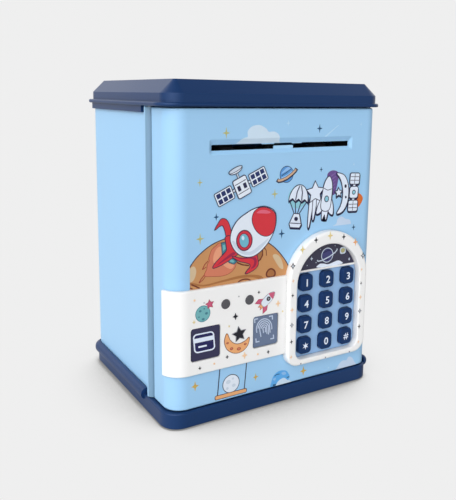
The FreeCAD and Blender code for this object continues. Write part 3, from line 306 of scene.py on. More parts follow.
def rounded_box(x0, x1, z0, z1, r, steps=5):
    out = []
    for cx, cz, start in ((x1 - r, z1 - r, 0), (x0 + r, z1 - r, 90), (x0 + r, z0 + r, 180),
                          (x1 - r, z0 + r, 270)):
        for i in range(steps + 1):
            a = math.radians(start + 90 * i / steps)
            out.append((cx + r * math.cos(a), cz + r * math.sin(a)))
    return out


def above(points, z):
    """The part of an outline higher than z."""
    out = []
    for i, (x1, z1) in enumerate(points):
        x0, z0 = points[i - 1]
        if (z0 > z) != (z1 > z):
            t = (z - z0) / (z1 - z0)
            out.append((x0 + (x1 - x0) * t, z))
        if z1 > z:
            out.append((x1, z1))
    return out


def below(points, z):
    return [(x, -v) for x, v in above([(x, -v) for x, v in points], -z)]


def right_of(points, x):
    return [(v, u) for u, v in above([(z, u) for u, z in points], x)]


class Print:
    """One printed motif: thin closed layers, each a hair above the one before."""

    STEP = 0.010             # from one layer to the next, in millimetres
    FIRST = 0.03             # the first layer above the face

    def __init__(self, name, slot, body="door", face=None, lift=0.0, sink=0.02, surface=None):
        self.name, self.slot, self.body, self.sink = name, slot, body, sink
        self.y = (DOOR_Y if face is None else face_of(face)) - lift
        self.surface = surface or (lambda x, z: 0.0)
        self.vertices, self.faces, self.inks, self.shades = [], [], [], []
        self.layer = 0

    def add(self, points, colour, same_layer=False):
        if len(points) < 3:
            return self
        if not same_layer:
            self.layer += 1
        area = sum(points[i - 1][0] * points[i][1] - points[i][0] * points[i - 1][1]
                   for i in range(len(points)))
        if area < 0:
            points = points[::-1]
        if colour not in self.inks:
            self.inks.append(colour)
        shade = self.inks.index(colour)
        top = -(self.FIRST + self.STEP * self.layer)
        first, n = len(self.vertices), len(points)
        for depth in (top, self.sink):
            self.vertices += [(x * MM, (self.y + self.surface(x, z) + depth) * MM, z * MM) for x, z in points]
        self.faces.append(tuple(range(first, first + n)))
        self.faces.append(tuple(range(first + 2 * n - 1, first + n - 1, -1)))
        for i in range(n):
            j = (i + 1) % n
            self.faces.append((first + j, first + i, first + n + i, first + n + j))
        self.shades += [shade] * (n + 2)
        return self

    def group(self, shapes, colour):
        """Several shapes on one layer."""
        for i, points in enumerate(shapes):
            self.add(points, colour, same_layer=i > 0)
        return self

    def outlined(self, points, colour, line=0.5, line_colour="line"):
        self.add(grown(points, line), line_colour)
        return self.add(points, colour)

    def done(self):
        mesh = bpy.data.meshes.new(self.name)
        mesh.from_pydata(self.vertices, [], self.faces)
        for colour in self.inks:
            mesh.materials.append(INK[colour])
        for face, shade in zip(mesh.polygons, self.shades):
            face.material_index = shade
        mesh.validate()
        piece = bpy.data.objects.new(self.name, mesh)
        bpy.context.scene.collection.objects.link(piece)
        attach(piece, self.body)
        return piece


# ---- the door's picture --------------------------------------------------------------------
BAND_TOP = 77.6          # the control band covers the picture below this
PICTURE_LEFT = -58.4     # where the flat face ends and the corner begins to turn
GROUND = 10.9            # the base's rail covers the picture below this


def moon():
    p = Print("print_moon", "body_blue")

    def cut(points):
        return right_of(above(points, BAND_TOP), PICTURE_LEFT)

    disc = smooth([(-72, 70), (-63, 84.6), (-58.2, 91.3), (-54.4, 95.8), (-49.6, 99.5), (-44.6, 102.2),
                   (-38.8, 104), (-32, 105.2), (-24, 105.2), (-16.5, 103.2), (-9.8, 99.6), (-4.6, 95.9),
                   (0.2, 91.0),
                   (4.4, 85.4), (7.6, 78),
                   (8, 70)])
    p.add(cut(grown(disc, 0.55)), "shadow")
    p.add(cut(disc), "tan")
    p.group([smooth([(-5.6, 91.4), (-3.2, 92.0), (-0.2, 89.6), (1.6, 85.6), (1.8, 82.6), (-0.6, 83.6),
                     (-3.4, 87.4)]),
             cut(smooth([(-58.6, 90), (-56, 91.6), (-54.6, 88.6), (-56.2, 84), (-59.5, 83)]))], "tan_pale")
    p.add(cut(smooth([(-60, 83), (-50, 80.6), (-38, 81.6), (-26, 82.6), (-16, 81.4), (-12, 79), (-14, 74),
                      (-60, 74)])),
          "tan_dark")
    p.add(cut(smooth([(-61, 81.6), (-50, 79.6), (-38, 80.4), (-26, 81.0), (-17, 79.8), (-13, 76), (-20, 73),
                      (-60, 73)])),
          "tan")
    p.group([cut(smooth([(-10.2, 81.2), (-8.8, 83.6), (-6.4, 84.2), (-4, 82.8), (-3.2, 80.4), (-4.4, 78.8),
                         (-9, 79)])),
             cut(stroke(ellipse(-24.5, 77.9, 4.4, 2.2, steps=10, start=20, stop=160), 0.8)),
             stroke([(-12.8, 95.6), (-12.6, 92.6), (-14.0, 90.2), (-15.8, 89.2)], 0.9),
             stroke([(-11.8, 97.2), (-10.2, 95.2), (-9.9, 92.0)], 0.5),
             cut(stroke([(-57.6, 81.8), (-55.0, 80.4), (-52.6, 79.0)], 0.8)),
             cut(stroke([(-56.8, 79.2), (-58.4, 80.0)], 0.6)),
             stroke([(-29.4, 90.4), (-25.8, 88.6), (-21.6, 87.6)], 0.8)], "brown")
    p.add(cut(smooth([(-9.2, 81.0), (-8.2, 82.8), (-6.4, 83.3), (-4.8, 82.2), (-4.2, 80.6), (-5.2, 79.4),
                      (-8.4, 79.6)])),
          "tan_dark")
    p.add(smooth([(-17.6, 93.6), (-13.4, 95.2), (-13.2, 92.4), (-14.6, 90.4), (-16.2, 89.6)]), "tan_dark")
    p.done()


def rocket():
    p = Print("print_rocket", "body_blue", lift=0.10)
    flame = smooth([(-39.6, 102.4), (-42.8, 101.2), (-45.2, 99.4), (-46.4, 96.6), (-47.0, 94.6),
                    (-46.6, 93.4), (-47.8, 91.6), (-48.2, 89.0), (-49.6, 85.6), (-44.4, 84.6), (-38.6, 84.1),
                    (-34.2, 85.0), (-31.4, 87.0), (-30.2, 89.8),
                    (-32, 96)], 4)
    p.outlined(flame, "flame", 0.28, "flame_line")
    p.group([smooth([(-39.8, 100.6), (-42.6, 99.4), (-44.4, 95.2), (-43.8, 91.8), (-41.0, 94.2),
                     (-38.8, 97.0)]),
             smooth([(-38.6, 90.6), (-34.6, 87.6), (-32.2, 87.6), (-31.4, 89.6), (-33.8, 91.4),
                     (-36.4, 91.2)])],
            "flame_light")
    p.group([stroke([(-47.4, 93.6), (-49.6, 91.8), (-51.0, 89.2)], 0.5),
             stroke([(-50.8, 89.2), (-48.6, 90.4)], 0.4),
             stroke([(-49.6, 86.2), (-51.8, 84.0), (-53.0, 82.0)], 0.5),
             stroke([(-52.8, 82.0), (-50.6, 83.4), (-49.2, 85.2)], 0.4)],
            "flame_line")
    for nozzle in ([(-39.4, 102.6), (-36.6, 102.8), (-36.0, 98.4), (-38.8, 96.2)],
                   [(-35.4, 92.6), (-33.2, 94.0), (-29.6, 91.0), (-31.4, 89.8), (-34.4, 91.0)]):
        p.outlined(nozzle, "teal_dark", 0.3)
        p.add(shrunk(nozzle, 0.55), "teal_green")
    p.outlined(smooth([(-43.3, 110.4), (-41.6, 113.2), (-39.4, 115.8), (-36.6, 115.2), (-34.6, 112.0),
                       (-33.6, 107.0), (-36.2, 106.2), (-37.2, 109.4), (-38.7, 112.3), (-40.8, 112.0)], 4),
                       "red", 0.42)
    p.outlined(smooth([(-36.9, 105.4), (-34.0, 105.8), (-33.4, 102.4), (-31.6, 98.4), (-29.2, 95.6),
                       (-31.4, 94.0), (-35.6, 92.0), (-40.2, 90.1), (-44.4, 89.3), (-43.4, 91.4),
                       (-40.6, 93.9),
                       (-37.6, 96.4), (-36.0, 98.4), (-36.4, 101.6)], 4),
                       "red", 0.42)
    p.outlined(smooth([(-32.4, 94.2), (-27.4, 92.6), (-22.4, 92.2), (-17.0, 93.2), (-16.0, 90.6),
                       (-15.6, 87.6), (-17.2, 85.6), (-20.4, 84.0), (-23.8, 83.3), (-22.6, 84.9),
                       (-20.9, 86.5),
                       (-21.0, 88.4), (-24.0, 89.8), (-28.2, 91.2)], 4),
                       "red", 0.42)
    p.group([smooth([(-42.6, 90.2), (-38.2, 92.2), (-33.2, 94.4), (-30.6, 95.6), (-32.2, 96.6),
                     (-37.0, 94.0)], 3),
             smooth([(-30.6, 93.6), (-26.0, 92.0), (-20.6, 91.6), (-18.4, 90.2), (-18.6, 87.6), (-20.4, 85.8),
                     (-18.2, 86.2), (-16.8, 88.2), (-17.4, 91.8), (-23.4, 92.4)], 3)], "red_dark")
    hull = smooth([(-33.7, 103.6), (-33.0, 108.4), (-30.6, 112.6), (-27.6, 115.4), (-24.2, 117.3),
                   (-20.2, 119.2), (-15.8, 120.3), (-12.0, 120.5), (-8.6, 119.5), (-5.8, 117.8),
                   (-4.4, 115.6), (-4.1, 112.0), (-4.6, 108.4), (-6.0, 104.6), (-8.2, 101.0), (-11.0, 97.8),
                   (-14.6, 94.9), (-18.4, 93.1), (-22.0, 92.8), (-26.0, 93.8), (-29.4, 96.0),
                   (-32.0, 99.2)])
    p.outlined(hull, "white", 0.5)
    p.add(smooth([(-32.8, 103.0), (-31.4, 99.6), (-29.0, 96.8), (-25.8, 94.8), (-22.0, 93.8), (-18.6, 94.2),
                  (-14.6, 96.2), (-11.4, 98.8), (-9.0, 102.0), (-14.0, 99.2), (-21.4, 95.6), (-28.0, 98.6),
                  (-31.0, 102.4)]), "shade")
    nose = smooth([(-19.9, 113.4), (-19.2, 117.2), (-17.0, 119.4), (-13.8, 120.2), (-10.0, 119.6),
                   (-6.6, 117.8), (-4.6, 115.3), (-4.4, 111.0), (-5.0, 107.4), (-6.6, 104.9), (-9.6, 103.6),
                   (-13.0, 104.2), (-16.0, 106.2),
                   (-18.4, 109.2)])
    p.outlined(nose, "red", 0.4)
    p.add(smooth([(-17.2, 117.4), (-14.4, 118.8), (-10.6, 118.4), (-7.8, 117.0), (-9.4, 116.4),
                  (-13.4, 116.8)]),
          "red_light")
    p.outlined(ellipse(-24.9, 102.5, 4.9, 5.7, 14), "red_dark", 0.4)
    p.add(ellipse(-24.9, 102.5, 4.5, 5.3, 14), "red")
    p.add(ellipse(-25.0, 102.4, 3.6, 4.5, 14), "red_dark")
    p.add(ellipse(-25.1, 102.4, 2.9, 3.9, 14), "teal")
    p.add(ellipse(-25.9, 104.0, 0.9, 1.3, 14), "cloud")
    p.done()


def satellite():
    """A plain satellite above the rocket: a box with two solar wings and a dish."""
    p = Print("print_satellite", "body_blue", lift=0.28)
    place = dict(x=-27.0, z=133.0, turn=24)

    def put(points, colour, line=0.45):
        p.outlined(moved(points, **place), colour, line)

    for side in (-1, 1):
        put(stroke([(side * 4.0, 0), (side * 7.0, 0)], 1.2), "shade")
        put(rounded_box(min(side * 6.4, side * 17.0), max(side * 6.4, side * 17.0), -3.6, 3.6, 0.6), "white")
        p.group([moved(rounded_box(side * x - 1.3, side * x + 1.3, z - 1.3, z + 1.3, 0.2), **place)
                 for x in (8.4, 11.7, 15.0) for z in (-1.7, 1.7)], "navy_light")
    put(stroke([(0, 4.6), (0, 8.6)], 0.7), "shade", 0.3)
    put(ellipse(0, 10.2, 4.2, 1.9, start=180, stop=360), "white")
    put(ellipse(0, 10.2, 4.2, 0.9), "shade", 0.35)
    put(rounded_box(-4.2, 4.2, -5.6, 4.8, 0.9), "white", 0.5)
    p.group([moved(stroke([(-3.7, z), (3.7, z)], 0.4), **place) for z in (2.4, -3.2)], "line")
    p.group([moved(rounded_box(x - 1.0, x + 1.0, -1.9, 1.1, 0.2), **place) for x in (-2.0, 2.0)], "navy")
    p.done()


def saturn():
    p = Print("print_ringed_planet", "body_blue")
    p.outlined(ellipse(2.9, 138.0, 4.4, 4.5), "planet", 0.35)
    p.group([smooth([(-0.8, 138.6), (1.6, 141.0), (4.0, 142.2), (5.4, 141.2), (2.2, 139.6)]),
             smooth([(-0.9, 136.2), (3.0, 137.8), (6.8, 140.0), (7.2, 138.8), (3.8, 136.8), (0.2, 135.2)])],
             "planet_light")
    p.add(stroke([(-0.6, 137.4), (2.4, 138.9), (5.6, 140.9)], 0.35), "navy")
    p.add(stroke([(-3.7, 135.2), (-2.6, 134.4), (-0.4, 134.6), (3.0, 135.7), (6.4, 137.7), (9.0, 139.8),
                  (9.8, 141.0)], 2.3),
          "line")
    p.add(stroke([(-3.2, 135.0), (-2.3, 134.7), (-0.4, 134.9), (3.0, 136.0), (6.2, 137.9), (8.6, 139.8),
                  (9.2, 140.6)], 1.2),
          "ring")
    p.done()


def icon_row():
    """Five tall white motifs with a dark edge and a drop shadow, on three coloured patches."""
    patches = Print("print_patches", "body_blue")
    patches.add(smooth([(32.4, 136.6), (36.6, 138.7), (40.8, 136.8), (40.4, 131.0), (38.6, 124.6),
                        (36.8, 123.8), (34.8, 125.0), (33.4, 130.6)]),
                        "purple")
    patches.group([stroke([(34.0 + i * 0.3, 134.6 - i * 2.2), (38.8 - i * 0.1, 137.2 - i * 2.2)], 0.5)
                   for i in range(5)], "purple_light")
    patches.add(ellipse(11.2, 124.4, 7.0, 6.6, 20), "teal_faint")
    patches.add(smooth([(53.6, 122.4), (57.6, 123.4), (60.8, 120.4), (59.6, 117.0), (57.2, 115.0),
                        (54.0, 117.2)]),
                "orange_deep")
    patches.done()

    def placed(shapes, x, z, turn=0.0, size=1.0):
        return [moved(shape, x, z, turn, size) for shape in shapes]

    canopy = ellipse(0, 3.2, 6.6, 9.4, steps=24, start=0, stop=180) + [(-4.4, 4.8), (-2.2, 3.2), (0, 4.8),
                                                                       (2.2, 3.2), (4.4, 4.8)]
    capsule = [(-1.8, -4.4), (1.8, -4.4), (4.1, -10.4), (3.2, -12.2), (-3.2, -12.2), (-4.1, -10.4)]
    cords = [stroke([(x, 3.4), (x * 0.22, -4.8)], 0.5) for x in (-6.3, -2.2, 2.2, 6.3)]
    fin = smooth([(-2.6, 1.4), (-5.4, -3.6), (-6.0, -9.2), (-2.4, -6.6)])
    flare = [smooth([(x - 1.2, -3.4), (x + 1.2, -3.4), (x + lean + 0.5, -3 - length),
                     (x + lean - 0.5, -3 - length)])
             for x, lean, length in ((-2.6, -2.4, 15.8), (-0.1, -1.6, 12.0), (2.5, -1.0, 8.6))]
    panel = rounded_box(-3.5, 3.5, 5.2, 11.6, 0.9)
    lander, ship, probe = (11.0, 118.7, -8), (32.0, 121.8, -7), (53.0, 124.4, -3)
    motifs = [
        placed([canopy, capsule], *lander),
        placed(flare + [star(0, 0, 6.4, 1.0, 0.52, 5)], 23.6, 126.2, 2),
        placed([smooth([(-1.9, -5), (-1.5, -12.4), (0, -9.4), (1.5, -12.4), (1.9, -5)]), fin, mirrored(fin),
                smooth([(0, 13.4), (-2.6, 9.6), (-3.4, 3), (-2.9, -6.2), (2.9, -6.2), (3.4, 3), (2.6, 9.6)])],
               *ship),
        placed([smooth([(-3.8, 12.2), (1.4, 10.4), (4.2, 5.2), (4.7, -0.8), (3.5, -7), (0.2, -11.4),
                        (-4.2, -12.4), (-1.4, -8.4), (0.2, -4), (0.6, 1), (-0.4, 6.4),
                        (-2.0, 9.8)]),
                star(-2.9, 0.4, 2.5, 1.0, 0.5, 5)], 44.0, 124.8, 3),
        placed([rounded_box(-0.8, 0.8, -7, 7, 0.3), panel, [(x, -z) for x, z in panel],
                rounded_box(-3.1, 3.1, -3.4, 3.4, 1.3)], *probe),
    ]
    row = Print("print_icons", "body_blue", lift=0.08)
    for shapes in motifs:
        row.group([moved(grown(shape, 0.65), 0.35, -0.75) for shape in shapes], "shadow")
    row.group(placed(cords, *lander), "line")
    for shapes in motifs:
        for shape in shapes:
            row.outlined(shape, "letter", 0.5)
    seams = ([(-2.2, 3.6), (-1.9, 8.4), (-0.6, 12.2)], [(2.2, 3.6), (1.9, 8.4), (0.6, 12.2)],
             [(-3.7, -9.8), (3.7, -9.8)])
    row.group(placed([stroke(seam, 0.4) for seam in seams] + [ellipse(0, -7.2, 1.2)], *lander)
              + [ellipse(*ship[:2], 1.7, 2.0), moved(stroke([(-2.9, 6.2), (0, 5.2), (2.9, 6.2)], 0.4), *ship),
                 ellipse(46.3, 128.6, 0.8, 1.1), ellipse(46.8, 121.8, 0.6, 0.8), ellipse(*probe[:2], 1.5)]
              + placed([stroke([(-3.3, z), (3.3, z)], 0.35) for z in (-9.6, -7.4, 7.4, 9.6)], *probe)
              + placed([stroke([(0, z), (0, z + 6.0)], 0.35) for z in (-11.4, 5.4)], *probe), "line")
    row.group([ellipse(*ship[:2], 1.2, 1.5), ellipse(*probe[:2], 1.0)], "teal_faint")
    row.done()


FUNNEL_TOP, FUNNEL_THROAT, FUNNEL_DEEP = 158.9, 155.9, 1.4


def funnel(x, z):
    """How far the note slot's upper slope lies behind the door's face."""
    return max(0.0, FUNNEL_TOP - z) / (FUNNEL_TOP - FUNNEL_THROAT) * FUNNEL_DEEP


def clouds():
    big = smooth([(-28.6, 154.6), (-28.2, 157.8), (-25.4, 159.4), (-23.4, 160.0), (-23.4, 163.0),
                  (-20.4, 165.6), (-15.6, 166.1), (-11.6, 164.2), (-9.8, 162.4), (-6.0, 162.4), (-3.0, 160.6),
                  (-2.2, 157.4),
                  (-3.0, 154.6)])
    p = Print("print_cloud_high", "body_blue")
    p.add(above(big, FUNNEL_TOP), "cloud")
    p.done()
    slope = Print("print_cloud_slope", "body_blue", surface=funnel)
    slope.add(below(above(big, FUNNEL_THROAT + 0.15), FUNNEL_TOP), "cloud")
    slope.done()
    low = Print("print_cloud_low", "body_blue")
    low.group([above(smooth([(37.0, 104.0), (40.4, 105.8), (41.4, 108.8), (44.4, 109.9), (47.6, 108.2),
                             (50.8, 107.4), (52.0, 105.0), (51, 102.4), (44, 101.6)]),
                             104.6),
               above(smooth([(44.6, 9), (46.4, 13.4), (49.6, 15.8), (52.8, 15.4), (54.4, 17.4), (57.2, 16.4),
                             (59.4, 13.2), (60.6, 9)]), GROUND)], "cloud_low")
    low.done()
    # painted highlight: a pale streak and small pale stars drawn as glints on the door face
    painted_glints = Print("painted_glints_print", "body_blue")
    painted_glints.group([[(29.2, 158.9), (39.4, 165.6), (39.6, 165.3), (30.6, 158.9)], star(3.2, 167.0, 1.3, 1.5),
                   star(57.0, 165.8, 0.9, 1.4), star(52.6, 141.6, 0.9, 1.4), star(38.2, 13.4, 0.9, 1.3)],
                   "glint_pale")
    painted_glints.done()


def slot_tabs():
    """Short tongues in the middle of the note slot, one below and two above, that guide the note."""
    p = Print("slot_tabs", "body_blue", lift=-1.5, sink=0.9)
    p.group([rounded_box(-5.2, 7.8, 152.3, 154.5, 0.5), rounded_box(-13.4, -5.0, 155.5, 156.6, 0.4),
             rounded_box(7.2, 14.0, 155.5, 156.6, 0.4)], "tongue")
    p.done()


def below_band():
    """A pale cratered ball on a swing, and a small planet behind a cloud."""
    p = Print("print_swing", "body_blue")
    p.group([stroke([(-39.7, 30.8), (-41.2, 14.0)], 0.6), stroke([(-22.1, 30.8), (-23.6, 14.0)], 0.6)],
            "line")
    p.outlined(ellipse(-32.4, 19.6, 5.2), "white", 0.42)
    p.group([ellipse(-34.2, 21.0, 1.5, 1.2), ellipse(-30.6, 18.2, 1.2, 1.0), ellipse(-31.2, 22.4, 0.7),
             ellipse(-34.8, 17.2, 0.8)], "shade")
    p.outlined(rounded_box(-42.6, -22.2, 12.2, 14.2, 0.6), "orange", 0.35)
    p.done()
    p = Print("print_small_planet", "body_blue")
    p.add(above(smooth([(-4.6, 10.0), (-4.6, 14.4), (-2.8, 18.0), (1.0, 19.8), (5.4, 19.0), (7.6, 16.6),
                        (8.4, 14.2), (7.0, 12.0), (6.0, 9.6)]), GROUND),
                        "wave")
    p.group([stroke([(-2.6, 17.2), (-1.0, 18.0), (1.0, 17.8)], 0.5), stroke([(6.4, 14.4), (8.2, 14.4)], 0.6),
             above(stroke([(-3.6, 11.6), (-1.4, 11.6)], 1.1), GROUND)], "star_navy")
    p.group([smooth([(2.4, 18.2), (4.8, 18.4), (5.8, 16.8), (3.6, 16.6)]),
             smooth([(-3.8, 15.4), (-1.6, 16.2), (-2.2, 14.4)])],
            "planet_light")
    p.add(above(smooth([(-1.2, 9.4), (-0.6, 12.6), (1.6, 14.2), (4.4, 14.6), (7.0, 12.6), (9.4, 11.4),
                        (10.2, 9.4)]), GROUND),
          "cloud")
    p.done()


def front_stars():
    p = Print("print_stars", "body_blue")
    p.group([star(x, z, r, 1.3) for x, z, r in ((-36.8, 162.2, 2.4), (-52.5, 136.5, 1.7), (-5.0, 127.2, 2.3),
                                                 (-52.3, 106.2, 2.5))], "gold")
    p.group([star(x, z, r, 1.2, 0.36) for x, z, r in ((-55.3, 23.4, 2.4), (-15.9, 19.8, 1.9),
                                                      (18.7, 15.8, 2.5))],
            "gold_deep")
    p.group([star(x, z, r, 1.3, 0.3) for x, z, r in ((-42.6, 117.2, 1.7), (0.3, 103.7, 2.2),
                                                     (54.3, 102.3, 1.6),
                                                      (27.6, 139.6, 1.2), (25.5, 163.7, 2.0),
                                                      (63.4, 82.8, 1.1))],
            "star_navy")
    p.done()


# ---- control band ---------------------------------------------------------------------------
def band_art():
    p = Print("print_band", "white", face="control_band")
    p.outlined(ellipse(-51.6, 65.1, 4.2, 4.3), "teal_green", 0.35, "teal_dark")
    p.group([ellipse(x, z, r, r * 0.8) for x, z, r in
             ((-53.2, 66.8, 0.8), (-49.4, 65.0, 0.9), (-51.4, 62.0, 0.9), (-54.0, 63.6, 0.5),
              (-50.8, 67.8, 0.5))],
            "teal_dark")
    p.outlined(star(-47.4, 69.8, 2.3, 1.0, 0.5, 5, 8), "pink", 0.3, "red_dark")
    place = dict(x=-9.9, z=66.4, turn=38, size=1.3)
    for fin in ([(-1.2, 1.6), (-3.2, 3.4), (-5.4, 3.2), (-3.6, 1.0)],
                [(-1.2, -1.6), (-3.2, -3.4), (-5.4, -3.2), (-3.6, -1.0)]):
        p.outlined(moved(fin, **place), "pink", 0.25, "red_dark")
    p.outlined(moved([(-3.0, 1.0), (-5.4, 0.8), (-4.6, 0), (-5.4, -0.8), (-3.0, -1.0)], **place), "orange",
               0.2, "red_dark")
    p.outlined(moved(smooth([(4.6, 0), (2.6, 1.5), (-0.6, 1.8), (-3.2, 1.2), (-3.2, -1.2), (-0.6, -1.8),
                             (2.6, -1.5)]),
                     **place), "white", 0.25, "grey")
    p.add(moved(smooth([(4.6, 0), (3.0, 1.3), (2.0, 1.5), (2.0, -1.5), (3.0, -1.3)]), **place), "pink")
    p.add(moved(ellipse(0.6, 0, 1.05), **place), "black")
    p.add(moved(ellipse(0.6, 0, 0.5), **place), "grey")
    crescent = smooth([(-36.6, 50.8), (-38.0, 46.6), (-36.6, 42.2), (-33.4, 39.4), (-29.6, 38.3),
                       (-25.6, 39.2), (-22.8, 42.0), (-22.0, 45.9), (-24.4, 44.4), (-28.4, 43.4),
                       (-31.8, 44.2),
                       (-34.6, 46.8)])
    p.outlined(crescent, "orange", 0.3, "brown")
    p.group([ellipse(x, z, r, r * 0.75) for x, z, r in
             ((-36.2, 45.4, 0.8), (-33.6, 41.6, 1.1), (-28.8, 40.6, 1.3), (-24.6, 42.6, 0.9))], "flame_line")
    p.group([ellipse(x, z, r, r * 0.75) for x, z, r in
             ((-36.2, 45.5, 0.4), (-33.6, 41.7, 0.7), (-28.8, 40.7, 0.9), (-24.6, 42.7, 0.5))], "flame")
    p.outlined(star(-28.6, 49.2, 4.4, 1.0, 0.48, 5, 8), "black", 0.3, "grey")
    for colour, spots in {
            "black": ((-15.9, 71.7, 0.9), (-31.2, 60.0, 1.8), (-36.3, 37.2, 1.0), (-8.8, 34.5, 1.0),
                      (-53.4, 34.3, 0.9)),
            "orange_pale": ((-2.6, 62.9, 1.7), (-24.9, 35.7, 1.8)),
            "gold_pale": ((-57.0, 61.3, 0.9), (-35.2, 55.0, 0.6), (0.8, 57.6, 0.6)),
            "grey": ((-50.9, 71.1, 0.4), (-29.1, 71.3, 0.4))}.items():
        p.group([star(x, z, r, 1.15, 0.42) for x, z, r in spots], colour)
    p.group([ellipse(x, z, r, steps=16) for x, z, r in ((-56.7, 73.4, 0.55), (-44.5, 35.0, 0.55),
                                                        (-16.0, 34.6, 0.55))],
            "orange_pale")
    p.done()


ICON_LEAN, ICON_MIDDLE = 0.09, 48.5


def card_icon():
    p = Print("print_card", "pad_dark", face="card_pad")
    for points, colour in (
            (rounded_box(-56.9, -43.9, 42.9, 54.0, 2.2), "letter"),
            (rounded_box(-56.1, -44.7, 43.7, 53.2, 1.5), "card"), ([(-56.3, 48.9), (-44.5, 48.9),
            (-44.5, 51.4), (-56.3, 51.4)], "letter"), (rounded_box(-54.2, -49.0, 45.8, 46.8, 0.3),
            "letter")):
        p.add(slanted(points, ICON_MIDDLE, ICON_LEAN), colour)
    p.done()


def fingerprint_icon():
    p = Print("print_fingerprint", "pad_grey", "fingerprint_button", face="fingerprint_button")
    cx, cz = -11.3, 48.2
    ridges = []
    for i, r in enumerate((0.9, 2.0, 3.1, 4.2, 5.3)):
        top = [(cx + r * math.cos(math.radians(a)), cz + 0.8 + r * 1.12 * math.sin(math.radians(a)))
               for a in range(180 - 10 * (i % 2), -1 + 18 * (i % 2), -12)]
        tail = (2.6, 3.9, 4.6, 3.6, 1.6)[i]
        left = [(cx - r + 0.12 * tail, cz + 0.8 - tail)] if i % 2 == 0 else []
        ridges.append(stroke(left + top + [(cx + r - 0.1 * tail, cz + 0.8 - tail * 0.9)], 0.62))
    for sx in (-1, 1):
        for sz in (-1, 1):
            x, z = cx + sx * 6.4, cz + 0.6 + sz * 7.3
            ridges.append([(x, z), (x - sx * 2.6, z), (x - sx * 2.6, z - sz * 0.7),
                           (x - sx * 0.7, z - sz * 0.7), (x - sx * 0.7, z - sz * 2.6),
                           (x, z - sz * 2.6)])
    p.group([slanted(ridge, ICON_MIDDLE, ICON_LEAN) for ridge in ridges], "ridge")
    p.done()


# ---- keypad ---------------------------------------------------------------------------------
def bezel_stars():
    p = Print("print_bezel", "white", face="keypad_bezel")
    for colour, spots in {
            "gold_pale": ((32.1, 100.2, 2.2), (11.9, 94.0, 2.1)),
            "orange": ((52.0, 94.1, 2.1),),
            "black": ((21.6, 98.6, 1.6), (42.6, 98.4, 1.6), (5.7, 67.2, 1.1), (5.6, 38.8, 1.25),
                      (58.0, 67.0, 1.0),
                      (57.9, 38.8, 1.3)),
            "orange_pale": ((5.8, 76.0, 1.0), (5.5, 58.4, 1.4), (5.6, 29.3, 1.1), (58.0, 76.0, 0.9),
                            (58.0, 58.0, 1.3),
                            (57.8, 28.5, 1.0))}.items():
        p.group([star(x, z, r, 1.25, 0.34) for x, z, r in spots], colour)
    p.group([ellipse(x, z, 0.5, steps=14) for x, z in ((12.9, 23.6), (31.6, 23.6), (50.7, 23.4))], "grey")
    hollow = ((5.3, 85.0, 1.8), (58.6, 84.8, 1.9), (5.6, 49.1, 1.35), (57.9, 49.0, 1.45))
    p.group([star(x, z, r, 1.2, 0.42) for x, z, r in hollow], "black")
    p.group([star(x, z, r * 0.5, 1.2, 0.42) for x, z, r in hollow], "white")
    p.done()


def header_art():
    p = Print("print_header", "header_dark", face="keypad_header")
    p.add(smooth([(26.6, 80.3), (28.0, 82.4), (31.0, 82.2), (34.6, 81.4), (38.6, 82.2), (41.4, 82.8),
                  (43.6, 82.4), (45.0, 80.3)], 4),
                  "letter")
    p.add(ellipse(33.6, 87.2, 4.6), "shade")
    p.add(ellipse(33.6, 87.2, 4.1), "dusk")
    p.group([stroke([(30.4, 89.0), (33.4, 89.9), (36.2, 89.9)], 0.6),
             stroke([(31.2, 84.6), (34.6, 84.4)], 0.6)], "navy")
    p.group([stroke([(26.0, 85.0), (26.6, 84.2), (29.6, 84.3), (35.4, 86.1), (39.6, 88.2), (41.2, 89.8),
                     (40.9, 90.4)], 0.7),
             rounded_box(43.4, 48.0, 86.6, 90.8, 1.4)], "shade")
    p.add(smooth([(44.2, 89.6), (45.6, 90.2), (47.2, 89.4), (47.0, 87.8), (45.2, 87.3), (44.2, 88.2)]),
          "yellow")
    p.group([star(x, z, r, 1.2, 0.4) for x, z, r in
             ((21.8, 86.4, 1.1), (51.0, 82.6, 0.9), (25.2, 83.6, 0.4), (18.6, 82.6, 0.4), (39.4, 92.4, 0.35),
              (28.2, 91.4, 0.35))],
            "shade")
    p.done()


def legend(name, sign, size, bold):
    """White sign printed on a key's face."""
    low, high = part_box(name)
    text = bpy.data.curves.new("legend_text", "FONT")
    text.body, text.size, text.align_x = sign, size * MM, "CENTER"
    text.offset, text.extrude, text.resolution_u = bold * MM, 0.03 * MM, 4
    maker = bpy.data.objects.new("legend_maker", text)
    bpy.context.scene.collection.objects.link(maker)
    shape = bpy.data.meshes.new_from_object(maker.evaluated_get(bpy.context.evaluated_depsgraph_get()))
    bpy.data.objects.remove(maker)
    closed = bmesh.new()
    closed.from_mesh(shape)
    bmesh.ops.remove_doubles(closed, verts=closed.verts, dist=0.002 * MM)
    bmesh.ops.dissolve_degenerate(closed, edges=closed.edges, dist=0.002 * MM)
    bmesh.ops.recalc_face_normals(closed, faces=closed.faces)
    closed.to_mesh(shape)
    closed.free()
    ys = [v.co.y for v in shape.vertices]
    shape.transform(Matrix.Translation((0, -(min(ys) + max(ys)) / 2, 0)))
    shape.transform(Matrix.Rotation(math.radians(90), 4, "X"))
    shape.transform(Matrix.Translation(((low.x + high.x) / 2, low.y - 0.02 * MM, (low.z + high.z) / 2)))
    shape.materials.clear()
    shape.materials.append(INK["letter"])
    piece = bpy.data.objects.new("legend_" + name, shape)
    bpy.context.scene.collection.objects.link(piece)
    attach(piece, name)


def drawn_legend(name, shapes):
    """White sign of own outlines printed on a key's face."""
    low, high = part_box(name)
    p = Print("legend_" + name, "key_navy", name, face=name)
    for points in shapes:
        p.add(moved(points, (low.x + high.x) / 2 / MM, (low.z + high.z) / 2 / MM), "letter")
    p.done()


